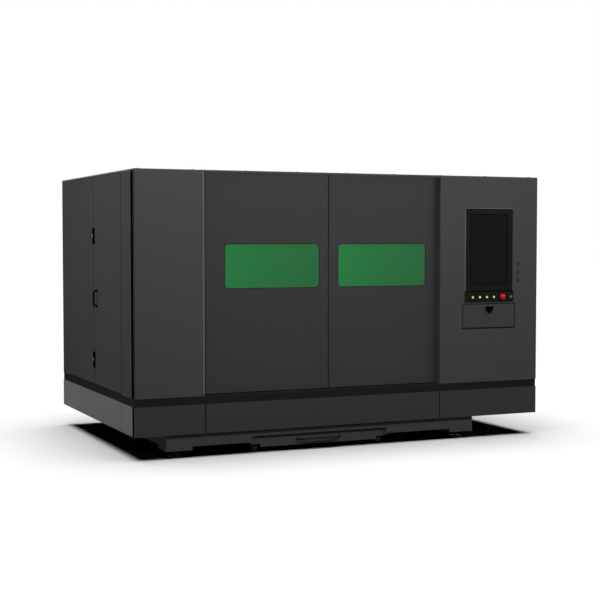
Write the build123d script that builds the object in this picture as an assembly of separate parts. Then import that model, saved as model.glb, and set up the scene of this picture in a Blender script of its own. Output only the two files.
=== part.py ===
from build123d import *
from math import pi
import os

# An enclosed sheet-metal laser cutting machine with two sliding front doors, a console on the
# right of the front, two hinged cabinet doors on the left side and a wheeled scrap drawer below.
# Units are millimetres. X runs to the right along the front, Y to the back and Z up.
# The origin is the middle of the enclosure's footprint, on the floor.

# Outer size of the enclosure
overall_width = 2930.0
overall_depth = 1800.0
overall_height = 1800.0

# Sheet metal
sheet = 2.0
seam = 6.0
bend_radius = 5.0
panel_return = 36.0
jamb_radius = 9.0
face_clearance = 0.3
stiffener_width = 40.0
stiffener_depth = 18.0

# Heights of the skirt, the dark sill and the roof
ground_clearance = 150.0
skirt_height = 185.0
skirt_return = 20.0
sill_height = 51.0
sill_recess = 3.0
sill_width = 75.0
sill_wall = 6.0
roof_height = 10.0
roof_radius = 8.0

# Front: fixed panels and sliding doors
left_panel_width = 464.0
console_width = 778.0
door_recess = 58.0
door_reveal_gap = 4.0
door_depth = 30.0
leaf_lap = 80.0
meeting_shift = 34.0
meeting_gap = 4.0
door_floor_gap = 6.0
door_head_gap = 4.0
guide_thickness = 5.0
guide_height = 14.0
guide_slack = 1.5

# Door windows
window_width = 660.0
window_height = 288.0
window_base = 1053.0
window_offset = 67.0
window_radius = 28.0
window_lap = 16.0
window_thickness = 5.0
front_stiffener_levels = (560.0, 980.0, 1410.0)

# Enclosure frame and the hanging rail of the doors
tube = 40.0
post_depth = 39.0
front_frame_setback = 110.0
rail_height = 18.0
rail_depth = 12.0
rail_drop = 12.0
shoe_length = 80.0
shoe_slack = 0.6
shoe_lip = 8.0
shoe_inset = 60.0

# Left side doors
side_front_depth = 270.0
side_middle_depth = 930.0
side_rear_depth = 135.0
side_door_inset = 3.0
pivot_inset = 9.0
pivot_radius = 4.0
pivot_slack = 0.05
pivot_reach = 14.0
handle_height = 122.0
handle_reach = 29.0
handle_width = 12.0
handle_wire = 10.0
handle_slope = 14.0
handle_corner = 8.0
handle_base = 912.0
handle_setback = 88.0
lever_height = 104.0
lever_width = 26.0
lever_thickness = 9.0
lever_lift = 3.0
lever_waist = 14.0
lever_chamfer = 2.0
lever_setback = 26.0
lever_low = 559.0
lever_high = 1391.0
spindle_radius = 6.0
cam_length = 46.0
cam_height = 16.0
cam_thickness = 4.0
side_stiffener_levels = (700.0, 1100.0, 1600.0)

# Console
screen_inset = 199.0
screen_width = 380.0
screen_base = 1016.0
screen_height = 562.0
screen_setback = 5.0
screen_fit = 0.3
screen_jamb = 10.0
bezel_side = 38.0
bezel_foot = 35.0
bezel_depth = 4.0
console_depth = 48.0
rim_chamfer = 1.6
plate_gap = 8.0
plate_height = 74.0
plate_thickness = 1.5
button_level = 970.0
button_inset = 254.0
button_pitch = 56.5
button_count = 4
button_proud = 3.5
collar_radius = 17.0
collar_thickness = 2.0
button_chamfer = 1.0
barrel_radius = 11.0
barrel_depth = 30.0
bore_slack = 0.4
stop_inset = 491.0
stop_radius = 20.0
stop_travel = 5.0
stop_head = 15.0
stop_chamfer = 6.0
selector_inset = 548.0
selector_radius = 15.0
selector_base = 10.0
selector_grip = 22.0
selector_width = 7.0
selector_chamfer = 1.5
selector_lean = 28.0
lamp_inset = 623.0
lamp_levels = (1084.0, 1139.0, 1196.0)
lamp_radius = 11.0
lamp_proud = 2.0
lamp_body_radius = 9.0
lamp_chamfer = 1.0
flap_inset = 181.0
flap_width = 413.0
flap_base = 758.0
flap_height = 163.0
flap_depth = 12.0
flap_seam = 2.5
flap_pivot = 6.0
flap_pin_radius = 3.0
flap_pin_length = 7.0
pocket_depth = 48.0
keyboard_width = 380.0
keyboard_height = 92.0
keyboard_lift = 12.0
keyboard_thickness = 12.0
key_rows = 5
key_columns = 15
key_height = 3.0
key_gap = 4.0
key_margin = 8.0
knob_level = 887.0
knob_width = 54.0
knob_top = 18.0
knob_shoulder = 5.0
knob_foot = 25.0
knob_foot_width = 10.0
knob_reach = 20.0
knob_corner = 3.0
knob_chamfer = 2.0

# Base under the enclosure
base_left_inset = 212.0
base_right_inset = 505.0
base_setback = 25.0
base_plate = 12.0
beam_clearance = 70.0
leg_clearance = 46.0
leg_width = 174.0
leg_depth = 150.0
base_tube = 100.0
foot_pad_radius = 40.0
foot_pad_height = 12.0
foot_stud_radius = 10.0
foot_nut_height = 14.0
foot_nut_radius = 18.0

# Scrap drawer on wheels
drawer_shift = -36.0
drawer_width = 944.0
drawer_gap = 10.0
runner_width = 25.0
runner_height = 40.0
drawer_recess = 20.0
drawer_rear_gap = 290.0
drawer_top = 100.0
drawer_floor = 57.0
drawer_low = 33.0
drawer_notch_width = 52.0
drawer_notch_height = 20.0
drawer_wall = 3.0
drawer_head_room = 8.0
wheel_radius = 24.5
wheel_width = 20.0
wheel_chamfer = 3.0
wheel_inset = 25.0
wheel_setback = 45.0
axle_radius = 7.0
axle_slack = 0.06
ear_thickness = 8.0
ear_radius = 14.0
pull_shift = -8.0
pull_width = 346.0
pull_bar_width = 232.0
pull_reach = 36.0
pull_wire = 12.0
pull_level = 70.0

# Cutting bed
bed_side_gap = 16.5
bed_beam_width = 120.0
bed_beam_height = 200.0
bed_top = 900.0
bed_front_gap = 30.0
bed_rear_gap = 90.0
bed_post = 100.0
bed_tie_height = 80.0
bed_tie_level = 480.0
bed_gusset = 110.0
bed_gusset_thickness = 12.0
ledge_width = 40.0
ledge_height = 20.0
rack_base = 740.0
rack_height = 60.0
rack_wall = 20.0
rack_front_gap = 100.0
rack_rear_gap = 130.0
rack_side_gap = 2.0
slat_count = 14
slat_thickness = 3.0
slat_notch = 4.0
slat_seat = 12.0
slat_top = 832.0
slat_tooth = 28.0
slat_teeth = 24
chute_foot_inset = 18.0
chute_foot_level = 118.0
chute_wall = 3.0
chute_lap = 16.0
chute_setback = 130.0

# Gantry, carriage and cutting head
guide_rail_width = 24.0
guide_rail_height = 20.0
guide_rail_waist = 4.0
magnet_width = 46.0
magnet_height = 9.0
magnet_gap = 14.0
gantry_rest_gap = 380.0
gantry_depth = 150.0
gantry_height = 150.0
gantry_lift = 44.0
gantry_wall = 10.0
gantry_bays = 6
gantry_bay_gap = 90.0
gantry_bay_margin = 34.0
gantry_bay_radius = 18.0
gantry_rib = 8.0
block_width = 62.0
block_cover = 13.0
cross_rail_height = 16.0
cross_rail_depth = 14.0
cross_rail_inset = 22.0
carriage_width = 200.0
carriage_thickness = 18.0
carriage_lip = 9.0
servo_width = 60.0
servo_height = 104.0
servo_bracket = 8.0
servo_cap = 24.0
servo_step = 5.0
slide_width = 110.0
slide_height = 230.0
slide_thickness = 20.0
slide_rail_width = 60.0
slide_rail_depth = 12.0
head_travel = 110.0
head_radius = 34.0
head_length = 250.0
collimator_radius = 24.0
collimator_length = 70.0
fibre_plug_radius = 12.0
fibre_plug_length = 34.0
nozzle_length = 34.0
nozzle_tip_radius = 3.0
nozzle_radius = 8.0
nozzle_cone = 10.0
sensor_radius = 15.0
sensor_height = 6.0
head_groove = 3.0
head_groove_height = 5.0
head_grooves = 4
cartridge_width = 52.0
cartridge_height = 22.0
cartridge_rise = 40.0
cartridge_reach = 38.0
nozzle_standoff = 12.0
head_clamp_depth = 22.0

# Rear, partitions and services
rear_panel_count = 3
louvre_count = 8
louvre_width = 420.0
louvre_pitch = 34.0
louvre_slot = 12.0
louvre_reach = 9.0
louvre_base = 520.0
collar_duct_radius = 100.0
collar_duct_wall = 3.0
collar_duct_reach = 45.0
collar_flange_radius = 130.0
collar_flange_thickness = 4.0
duct_level = 620.0
shelf_thickness = 3.0
laser_length = 760.0
laser_height = 190.0
laser_width = 330.0
laser_start = 260.0
laser_handle_inset = 40.0
laser_foot = 8.0
laser_foot_width = 40.0
laser_slot_width = 5.0
laser_slot_height = 96.0
laser_slot_depth = 6.0
laser_slot_pitch = 14.0
laser_slots = 12
fibre_port_radius = 16.0
fibre_port_length = 26.0
drive_plate_length = 900.0
drive_plate_height = 800.0
drive_plate_start = 300.0
drive_plate_base = 720.0
drive_count = 4
drive_width = 90.0
drive_height = 260.0
drive_depth = 150.0
drive_fins = 5
drive_fin_depth = 22.0
duct_strip = 45.0
duct_slot = 8.0
duct_slot_depth = 20.0

# Faces worked out from the sizes above
left = -overall_width / 2
right = overall_width / 2
front = -overall_depth / 2
rear = overall_depth / 2
skirt_top = ground_clearance + skirt_height
sill_top = skirt_top + sill_height
roof_base = overall_height - roof_height
jamb_left = left + left_panel_width
jamb_right = right - console_width
door_face = front + door_recess
door_back = door_face + door_depth
meeting_x = (jamb_left + jamb_right) / 2 + meeting_shift
leaf_width = jamb_right - meeting_x + leaf_lap
door_base = sill_top + door_floor_gap
door_top = roof_base - door_head_gap
frame_front = front + front_frame_setback
frame_side = panel_return
rail_top = roof_base - rail_drop
rail_base = rail_top - rail_height
base_left = left + base_left_inset
base_right = right - base_right_inset
base_front = front + base_setback
base_rear = rear - base_setback
chamber_left = jamb_left
chamber_right = jamb_right
bed_left = chamber_left + bed_side_gap
bed_right = chamber_right - bed_side_gap
bed_x = (bed_left + bed_right) / 2
bed_start = frame_front + tube + bed_front_gap
bed_end = rear - bed_rear_gap
drawer_x = bed_x + drawer_shift
drawer_front = base_front + drawer_recess
drawer_end = base_rear - drawer_rear_gap
rack_left = bed_left + bed_beam_width + rack_side_gap
rack_right = bed_right - bed_beam_width - rack_side_gap
rack_front = bed_start + rack_front_gap
rack_rear = bed_end - rack_rear_gap
gantry_base = bed_top + gantry_lift
gantry_front = bed_end - gantry_rest_gap
gantry_top = gantry_base + gantry_height


def slab(xs, ys, zs):
    """A rectangular block between three pairs of limits."""
    size = [high - low for low, high in (xs, ys, zs)]
    middle = [(high + low) / 2 for low, high in (xs, ys, zs)]
    return Pos(*middle) * Box(*size)


def widened(limits, amount):
    """A pair of limits moved apart by an amount at each end, or together where it is negative."""
    return limits[0] - amount, limits[1] + amount


def side_face(solid, side):
    """The outermost face of a block on a side such as '+y'."""
    axis = {"x": Axis.X, "y": Axis.Y, "z": Axis.Z}[side[1]]
    return solid.faces().sort_by(axis)[-1 if side[0] == "+" else 0]


def shared_edge(solid, first, second):
    """The edge where two sides of a block meet."""
    mine = side_face(solid, first).edges()
    other = side_face(solid, second).edges()
    return [a for a in mine if any(a.center() == b.center() for b in other)][0]


def pan(xs, ys, zs, open_to, bends=(), radius=bend_radius):
    """A folded sheet pan, open on the named sides, with the named edges bent round."""
    solid = slab(xs, ys, zs)
    if bends:
        solid = fillet([shared_edge(solid, *pair) for pair in bends], radius)
    return offset(solid, amount=-sheet, openings=[side_face(solid, side) for side in open_to])


def window_cut(xs, ys, zs, radius):
    """A cutting block through a front sheet, with rounded corners."""
    solid = slab(xs, ys, zs)
    return fillet(solid.edges().filter_by(Axis.Y), radius)


def rod(radius, start, end):
    """A round bar between two points."""
    path = Vector(*end) - Vector(*start)
    plane = Plane(origin=start, z_dir=path)
    return extrude(plane * Circle(radius), path.length)


def bent_bar(points, radius, corner):
    """A round bar that follows straight runs with bent corners."""
    path = FilletPolyline(*points, radius=corner)
    return sweep(Plane(origin=path @ 0, z_dir=path % 0) * Circle(radius), path=path)


def stiffener(xs, ys, level, run):
    """A folded channel welded behind a skin at a height, open at the ends of its run along X or Y."""
    half = stiffener_width / 2
    outer = slab(xs, ys, (level - half, level + half))
    zs = (level - half + sheet, level + half - sheet)
    if run == "x":
        return outer - slab(xs, (ys[0], ys[1] - sheet), zs)
    return outer - slab((xs[0], xs[1] - sheet), ys, zs)


# Enclosure: sill, posts and frame
def sill_ring():
    """The dark ring of channel section that the cladding stands on, with the doors' guide."""
    outer = slab(
        (left + sill_recess, right - sill_recess),
        (front + sill_recess, rear - sill_recess),
        (skirt_top, sill_top),
    )
    inner = slab(
        (left + sill_width, right - sill_width),
        (frame_front + tube, rear - sill_width),
        (skirt_top - 1, sill_top + 1),
    )
    hollow = slab(
        (left + sill_recess + sill_wall, right - sill_recess - sill_wall),
        (front + sill_recess + sill_wall, rear - sill_recess - sill_wall),
        (skirt_top + sill_wall, sill_top - sill_wall),
    )
    middle = (door_face + door_back) / 2
    guide = slab(
        (left + sill_width, right - sill_width),
        (middle - guide_thickness / 2, middle + guide_thickness / 2),
        (sill_top, sill_top + guide_height),
    )
    return outer - inner - hollow + guide


def corner_post(side, zs):
    """A black post behind the edge of a front panel; side is -1 on the left and 1 on the right."""
    outer = side * (overall_width / 2 - sill_recess)
    inner = outer - side * tube
    return slab(sorted((outer, inner)), (front + sheet, front + sheet + post_depth), zs)


def front_corner_posts():
    """Two upper posts on the sill and two lower ones between the skirts."""
    upper = (sill_top, roof_base)
    lower = (ground_clearance, skirt_top)
    return [corner_post(side, zs) for side in (-1, 1) for zs in (upper, lower)]


def enclosure_frame():
    """Welded square tube: a ring under the roof on six posts."""
    xs = (left + frame_side, right - frame_side)
    ys = (frame_front, rear - frame_side)
    ring = slab(xs, ys, (roof_base - tube, roof_base)) - slab(
        (xs[0] + tube, xs[1] - tube), (ys[0] + tube, ys[1] - tube), (roof_base - 2 * tube, roof_base + tube)
    )
    feet = [
        (xs[0], ys[0]),
        (xs[1] - tube, ys[0]),
        (xs[0], ys[1] - tube),
        (xs[1] - tube, ys[1] - tube),
        (chamber_left - tube, ys[0]),
        (chamber_right, ys[0]),
    ]
    for x, y in feet:
        ring += slab((x, x + tube), (y, y + tube), (sill_top, roof_base - tube))
    for x in (chamber_left - tube, chamber_right):
        ring += slab((x, x + tube), widened(ys, -tube), (roof_base - tube, roof_base))
    return ring


def door_rail():
    """The hanging rail along the front tube of the frame."""
    xs = (left + sill_width, right - sill_width)
    return slab(xs, (frame_front - rail_depth, frame_front), (rail_base, rail_top))


def roof_panel():
    """A shallow tray that closes the top, with its upper edges bent round."""
    solid = slab((left, right), (front, rear), (roof_base, overall_height))
    solid = fillet(side_face(solid, "+z").edges(), roof_radius)
    return offset(solid, amount=-sheet, openings=[side_face(solid, "-z")])


# Front cladding
def post_relief(side):
    """The room that a front panel leaves for the post behind its edge."""
    outer = side * overall_width / 2
    inner = side * (overall_width / 2 - sill_recess - tube - face_clearance)
    ys = (front + sheet, front + sheet + post_depth + door_recess)
    return slab(sorted((outer, inner)), ys, (sill_top, roof_base))


def front_panel_left():
    """The plain fixed panel to the left of the doors, with a rounded jamb."""
    zs = (sill_top, roof_base)
    ys = (front, door_face - door_reveal_gap)
    body = pan((left, jamb_left), ys, zs, ("+y", "-x"), [("-y", "+x")], jamb_radius)
    return body - post_relief(-1)


def console_panel():
    """The fixed panel that carries the screen, the buttons and the keyboard flap."""
    ys = (front, door_face - door_reveal_gap)
    body = pan((jamb_right, right), ys, (sill_top, roof_base), ("+y", "+x"), [("-y", "-x")], jamb_radius)
    body -= post_relief(1)
    skin = (front - 1, front + sheet + 1)
    screen_xs, screen_zs = screen_limits()
    body -= slab(screen_xs, skin, screen_zs)
    body = chamfer(side_face(body, "-y").inner_wires()[0].edges(), rim_chamfer)
    jamb = slab(widened(screen_xs, sheet), (front + sheet, front + screen_jamb), widened(screen_zs, sheet))
    body += jamb - slab(screen_xs, (front, front + console_depth), screen_zs)
    xs, zs = [widened(limits, flap_seam) for limits in flap_limits()]
    body -= slab(xs, skin, zs)
    pocket = slab(widened(xs, sheet), (front + sheet, front + pocket_depth), widened(zs, sheet))
    body += pocket - slab(xs, (front + sheet, front + pocket_depth - sheet), zs)
    for x, z, radius in panel_bores():
        body -= rod(radius, (x, skin[0], z), (x, skin[1], z))
    return body + flap_pin(xs[0], 1) + flap_pin(xs[1], -1)


def screen_limits():
    """The limits of the screen's opening, along X and along Z."""
    low = jamb_right + screen_inset
    return (low, low + screen_width), (screen_base, screen_base + screen_height)


def flap_limits():
    """The limits of the keyboard flap, along X and along Z."""
    low = jamb_right + flap_inset
    return (low, low + flap_width), (flap_base, flap_base + flap_height)


def panel_bores():
    """Place and radius of each round hole in the console's sheet."""
    controls = [jamb_right + button_inset + i * button_pitch for i in range(button_count)]
    controls += [jamb_right + stop_inset, jamb_right + selector_inset]
    holes = [(x, button_level, barrel_radius + bore_slack) for x in controls]
    return holes + [(jamb_right + lamp_inset, level, lamp_body_radius) for level in lamp_levels]


def flap_pin(x, way):
    """A hinge pin that stands out of the pocket's side wall into the flap."""
    y = front + flap_pivot
    z = flap_base + flap_pivot
    return rod(flap_pin_radius, (x - way * sheet, y, z), (x + way * flap_pin_length, y, z))


def skirt(xs, ys, side):
    """A folded skirt that hangs from the sill; side is the way it faces."""
    opposite = ("-" if side[0] == "+" else "+") + side[1]
    return pan(xs, ys, (ground_clearance, skirt_top), (opposite,))


def front_skirt(start, end):
    """One length of the front skirt between two distances from the left."""
    return skirt((left + start, left + end), (front, front + skirt_return), "-y")


def front_skirt_left():
    """The skirt under the left panel, cut back behind for the lower post."""
    xs = (left, left + left_panel_width - seam / 2)
    body = pan(xs, (front, front + skirt_return), (ground_clearance, skirt_top), ("+y", "-x"))
    return body - lower_relief(-1)


def front_skirt_right():
    """The skirt under the console, cut back behind for the lower post."""
    xs = (right - console_width + seam / 2, right)
    body = pan(xs, (front, front + skirt_return), (ground_clearance, skirt_top), ("+y", "+x"))
    return body - lower_relief(1)


def lower_relief(side):
    """The room that a front skirt leaves for the lower post."""
    outer = side * overall_width / 2
    inner = side * (overall_width / 2 - sill_recess - tube - face_clearance)
    ys = (front + sheet, front + skirt_return)
    return slab(sorted((outer, inner)), ys, (ground_clearance, skirt_top))


def front_skirt_centre():
    """The skirt under the doors."""
    return front_skirt(left_panel_width + seam / 2, overall_width - console_width - seam / 2)


# Side and rear cladding
def side_seams():
    """The Y of the three seams of the left side's cladding."""
    return front + side_front_depth, front + side_middle_depth, rear - side_rear_depth


def side_strip(start, end):
    """A fixed strip of the left side between two places along Y."""
    bends = [("-x", "-y"), ("-x", "+y")]
    return pan((left, left + panel_return), (start, end), (sill_top, roof_base), ("+x",), bends)


def side_panel_front():
    """The narrow strip between the front post and the first side door."""
    return side_strip(front + post_depth + sheet, side_seams()[0] - seam / 2)


def side_panel_rear():
    """The narrow strip behind the second side door."""
    return side_strip(side_seams()[2] + seam / 2, rear)


def side_skirt_left():
    """Three lengths of skirt along the left side."""
    first, middle, _ = side_seams()
    ends = (front + post_depth + sheet, first, middle, rear)
    pieces = []
    for start, end in zip(ends, ends[1:]):
        low = start + (seam / 4 if start > ends[0] else 0)
        high = end - (seam / 4 if end < rear else 0)
        pieces.append(skirt((left, left + skirt_return), (low, high), "-x"))
    return pieces


def side_skirt_right():
    """The skirt along the right side."""
    return skirt((right - skirt_return, right), (front + post_depth + sheet, rear), "+x")


def rear_skirt():
    """The skirt along the back."""
    xs = (left + skirt_return + sheet, right - skirt_return - sheet)
    return skirt(xs, (rear - skirt_return, rear), "+y")


def right_side_panels():
    """Two fixed pans that close the right side."""
    start = front + post_depth + sheet
    middle = (start + rear) / 2
    xs = (right - panel_return, right)
    bends = [("+x", "-y"), ("+x", "+y")]
    spans = [(start, middle - seam / 2), (middle + seam / 2, rear)]
    return [pan(xs, ys, (sill_top, roof_base), ("-x",), bends) for ys in spans]


def louvre(x, z):
    """A pressed hood over a slot, as the hood and the cutting slot under it."""
    outer = (rear + louvre_reach, z)
    inner = (rear + louvre_reach - sheet, z)
    root = (rear, z + louvre_slot)
    profile = Polyline(root, outer, inner, (rear, z + louvre_slot - sheet), close=True)
    hood = extrude(Plane.YZ * make_face(profile), louvre_width)
    slot = slab(
        (x, x + louvre_width),
        (rear - 2 * sheet, rear + 1),
        (z - louvre_slot / 2, z + louvre_slot - 2 * sheet),
    )
    return Pos(x, 0, 0) * hood, slot


def rear_panels():
    """Pans across the back: louvred ones behind the cabinets and one with the duct's hole."""
    start = left + panel_return + seam
    width = (overall_width - 2 * panel_return - 2 * seam - (rear_panel_count - 1) * seam) / rear_panel_count
    pieces = []
    for i in range(rear_panel_count):
        low = start + i * (width + seam)
        xs = (low, low + width)
        body = pan(xs, (rear - panel_return, rear), (sill_top, roof_base), ("-y",))
        if 2 * i + 1 == rear_panel_count:
            body -= rod(collar_duct_radius - collar_duct_wall, *duct_axis(-panel_return, 1))
        else:
            for row in range(louvre_count):
                hood, slot = louvre(low + (width - louvre_width) / 2, louvre_base + row * louvre_pitch)
                body = body - slot + hood
        pieces.append(body)
    return pieces


def duct_axis(start, end):
    """Two points on the duct's axis, at distances behind the rear skin."""
    x = (left + right) / 2
    return (x, rear + start, duct_level), (x, rear + end, duct_level)


def exhaust_collar():
    """The round spigot that a fume duct is clamped to."""
    flange = rod(collar_flange_radius, *duct_axis(0, collar_flange_thickness))
    spigot = rod(collar_duct_radius, *duct_axis(0, collar_duct_reach))
    bore = rod(collar_duct_radius - collar_duct_wall, *duct_axis(-1, collar_duct_reach + 1))
    return flange + spigot - bore


# Sliding front doors
def door_leaf(side):
    """One sliding leaf; side is -1 for the left leaf and 1 for the right one."""
    near = meeting_x + side * meeting_gap / 2
    far = meeting_x + side * leaf_width
    xs = sorted((near, far))
    bends = [("-y", "-x"), ("-y", "+x")]
    body = pan(xs, (door_face, door_back), (door_base, door_top), ("+y",), bends)
    skin = (door_face - 1, door_face + sheet + 1)
    body -= window_cut(window_limits(side), skin, window_levels(), window_radius)
    middle = (door_face + door_back) / 2
    half = guide_thickness / 2 + guide_slack
    slot_top = sill_top + guide_height + guide_slack
    body -= slab(widened(xs, 1), (middle - half, middle + half), (door_base - 1, slot_top))
    for x in (xs[0] + shoe_inset, xs[1] - shoe_inset - shoe_length):
        body += door_shoe(x)
    for level in front_stiffener_levels:
        ys = (door_face + sheet, door_face + sheet + stiffener_depth)
        body += stiffener(widened(xs, -sheet), ys, level, "x")
    return body


def door_shoe(x):
    """A bearing shoe behind the top of a leaf, with a channel for the hanging rail."""
    outer = slab(
        (x, x + shoe_length),
        (door_back - sheet, frame_front - rail_depth + shoe_lip),
        (rail_base - shoe_lip, rail_top + shoe_lip),
    )
    channel = slab(
        (x - 1, x + shoe_length + 1),
        (frame_front - rail_depth - shoe_slack, frame_front),
        (rail_base - shoe_slack, rail_top + shoe_slack),
    )
    arm_ys = (door_face + sheet, door_back)
    arm = slab((x, x + shoe_length), arm_ys, (rail_base - shoe_lip, door_top - sheet))
    return outer - channel + arm


def window_limits(side):
    """The limits of a leaf's window along X."""
    near = meeting_x + side * window_offset
    return sorted((near, near + side * window_width))


def window_levels():
    """The limits of both windows along Z."""
    return window_base, window_base + window_height


def window_pane(side):
    """The tinted pane glued behind a leaf's opening."""
    xs = window_limits(side)
    zs = window_levels()
    ys = (door_face + sheet, door_face + sheet + window_thickness)
    outer = (xs[0] - window_lap, xs[1] + window_lap), ys, (zs[0] - window_lap, zs[1] + window_lap)
    return window_cut(*outer, window_radius + window_lap)


# Hinged side doors
def side_leaf(start, end, way):
    """A cabinet door from its hinge end to its free end; way is the free end's side, -1 or 1."""
    ys = sorted((start, end))
    zs = (sill_top + seam, roof_base - seam)
    bends = [("-x", "-y"), ("-x", "+y")]
    body = pan((left, left + panel_return - side_door_inset), ys, zs, ("+x",), bends)
    x, y = side_pivot(start, way)
    for z, up in ((zs[0], 1), (zs[1], -1)):
        body += slab(
            (left + sheet, x + pivot_inset),
            sorted((start + way * sheet, y + way * pivot_inset)),
            sorted((z, z + up * 2 * pivot_reach)),
        )
        body -= rod(pivot_radius + pivot_slack, (x, y, z - up), (x, y, z + up * (pivot_reach + 1)))
    for level in side_stiffener_levels:
        xs = (left + sheet, left + sheet + stiffener_depth)
        body += stiffener(xs, widened(ys, -sheet), level, "y")
    return body


def side_pivot(start, way):
    """The pivot line of a side door, as X and Y."""
    return left + pivot_inset, start + way * pivot_inset


def front_leaf_ends():
    """The hinge end and the free end of the front side door, and the way from one to the other."""
    first, middle, _ = side_seams()
    return first + seam / 2, middle - seam / 2, 1


def rear_leaf_ends():
    """The hinge end and the free end of the rear side door, and the way from one to the other."""
    _, middle, last = side_seams()
    return last - seam / 2, middle + seam / 2, -1


def side_door_front():
    """The front cabinet door, with bores for the two latch spindles."""
    body = side_leaf(*front_leaf_ends())
    y = lever_axis()
    for level in (lever_low, lever_high):
        body -= rod(spindle_radius + bore_slack, (left - 1, y, level), (left + sheet + 1, y, level))
    return body


def side_door_rear():
    """The rear cabinet door."""
    return side_leaf(*rear_leaf_ends())


def side_door_pivots():
    """Four pins, on the sill and under the roof, that the side doors turn on."""
    pins = []
    for start, _, way in (front_leaf_ends(), rear_leaf_ends()):
        x, y = side_pivot(start, way)
        low = sill_top + seam + pivot_reach
        high = roof_base - seam - pivot_reach
        pins.append(rod(pivot_radius, (x, y, sill_top), (x, y, low)))
        pins.append(rod(pivot_radius, (x, y, high), (x, y, roof_base)))
    return pins


def bow(reach, height):
    """A flat moulded bow handle in the XZ plane, which stands out from x = 0 towards -x."""
    points = [
        (0, 0),
        (-reach, handle_slope),
        (-reach, height - handle_slope),
        (0, height),
        (0, height - 1.5 * handle_wire),
        (handle_wire - reach, height - handle_slope - handle_wire / 2),
        (handle_wire - reach, handle_slope + handle_wire / 2),
        (0, 1.5 * handle_wire),
    ]
    outline = make_face(Polyline(*points, close=True))
    corners = outline.vertices().filter_by(lambda vertex: vertex.X < -reach + 1)
    outline = fillet(corners, handle_corner)
    grip = extrude(Plane.XZ * outline, handle_width / 2, both=True)
    return chamfer(side_face(grip, "-x").edges().filter_by(Axis.Z), handle_corner / 4)


def side_door_handle():
    """The bow handle near the free edge of the front cabinet door."""
    y = side_seams()[1] - handle_setback
    return Pos(left, y, handle_base) * bow(handle_reach, handle_height)


def lever_axis():
    """The Y of the two latch spindles."""
    return side_seams()[1] - lever_setback


def latch_lever(level):
    """A turning latch: an outer lever with a waist, its spindle and the cam behind the door."""
    y = lever_axis()
    half = lever_height / 2
    outer = left - lever_lift - lever_thickness
    grip = slab(
        (outer, left - lever_lift),
        (y - lever_width / 2, y + lever_width / 2),
        (level - half, level + half),
    )
    grip = chamfer(side_face(grip, "-x").edges(), lever_chamfer)
    for way in (-1, 1):
        grip -= slab(
            (outer - 1, left),
            sorted((y + way * lever_waist / 2, y + way * lever_width)),
            (level - half / 2, level + half / 2),
        )
    hub = rod(lever_width / 2, (outer, y, level), (left - face_clearance, y, level))
    depth = left + sheet + 3 * cam_thickness
    spindle = rod(spindle_radius, (left - lever_lift, y, level), (depth, y, level))
    cam = slab(
        (depth - cam_thickness, depth),
        (y - cam_height / 2, y + cam_height / 2),
        (level - cam_length, level + cam_height / 2),
    )
    return grip + hub + spindle + cam


# Console: screen, buttons, lamps and keyboard
def screen_housing():
    """The monitor's tray behind the console, with a dark bezel round the display."""
    xs, zs = [widened(limits, -screen_fit) for limits in screen_limits()]
    face = front + screen_setback
    display = slab(
        (xs[0] + bezel_side, xs[1] - bezel_side),
        (face - 1, face + bezel_depth),
        (zs[0] + bezel_foot, zs[1] - bezel_side),
    )
    return slab(xs, (face, front + console_depth), zs) - display


def screen_glass():
    """The display itself, set into the bezel."""
    xs, zs = [widened(limits, -screen_fit) for limits in screen_limits()]
    face = front + screen_setback
    return slab(
        (xs[0] + bezel_side, xs[1] - bezel_side),
        (face + bezel_depth / 2, face + bezel_depth),
        (zs[0] + bezel_foot, zs[1] - bezel_side),
    )


def button_plate():
    """The plate under the buttons, with a raised collar round each bore."""
    xs, _ = screen_limits()
    top = screen_base - plate_gap
    face = front - plate_thickness
    plate = slab(widened(xs, plate_gap), (face, front), (top - plate_height, top))
    bores = [hole for hole in panel_bores() if hole[1] == button_level]
    for x, z, _ in bores:
        plate += rod(collar_radius, (x, control_face(), z), (x, front, z))
    for x, z, radius in bores:
        plate -= rod(radius, (x, control_face() - 1, z), (x, front + 1, z))
    return plate


def control_face():
    """The Y of the collars' front faces."""
    return front - plate_thickness - collar_thickness


def push_button(index):
    """One push button: a flat cap and its barrel through the panel."""
    x = jamb_right + button_inset + index * button_pitch
    face = control_face()
    cap = rod(barrel_radius, (x, face - button_proud, button_level), (x, face + barrel_depth, button_level))
    return chamfer(side_face(cap, "-y").edges(), button_chamfer)


def estop_button():
    """The mushroom-headed emergency stop."""
    x = jamb_right + stop_inset
    face = control_face() - stop_travel - face_clearance
    head = rod(stop_radius, (x, face - stop_head, button_level), (x, face, button_level))
    head = chamfer(side_face(head, "-y").edges(), stop_chamfer / 2, stop_chamfer)
    return head + rod(barrel_radius, (x, face, button_level), (x, face + barrel_depth, button_level))


def selector_switch():
    """The rotary selector: a round knob with a raised grip that leans to the right."""
    x = jamb_right + selector_inset
    face = control_face() - face_clearance
    base = rod(selector_radius, (x, face - selector_base, button_level), (x, face, button_level))
    base = chamfer(side_face(base, "-y").edges(), selector_chamfer)
    grip = slab(
        (-selector_width / 2, selector_width / 2),
        (face - selector_grip, face),
        (-barrel_radius, selector_radius),
    )
    grip = chamfer(grip.edges().filter_by(Axis.Y), selector_chamfer)
    grip = Pos(x, 0, button_level) * Rot(0, selector_lean, 0) * grip
    barrel = rod(barrel_radius, (x, face, button_level), (x, face + barrel_depth, button_level))
    return base + grip + barrel


def indicator_lamps():
    """Three small lamps in a column at the right of the screen."""
    x = jamb_right + lamp_inset
    lamps = []
    for level in lamp_levels:
        lens = rod(lamp_radius, (x, front - lamp_proud, level), (x, front, level))
        lens = chamfer(side_face(lens, "-y").edges(), lamp_chamfer)
        body = rod(lamp_body_radius - bore_slack, (x, front, level), (x, front + barrel_depth, level))
        lamps.append(lens + body)
    return lamps


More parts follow.
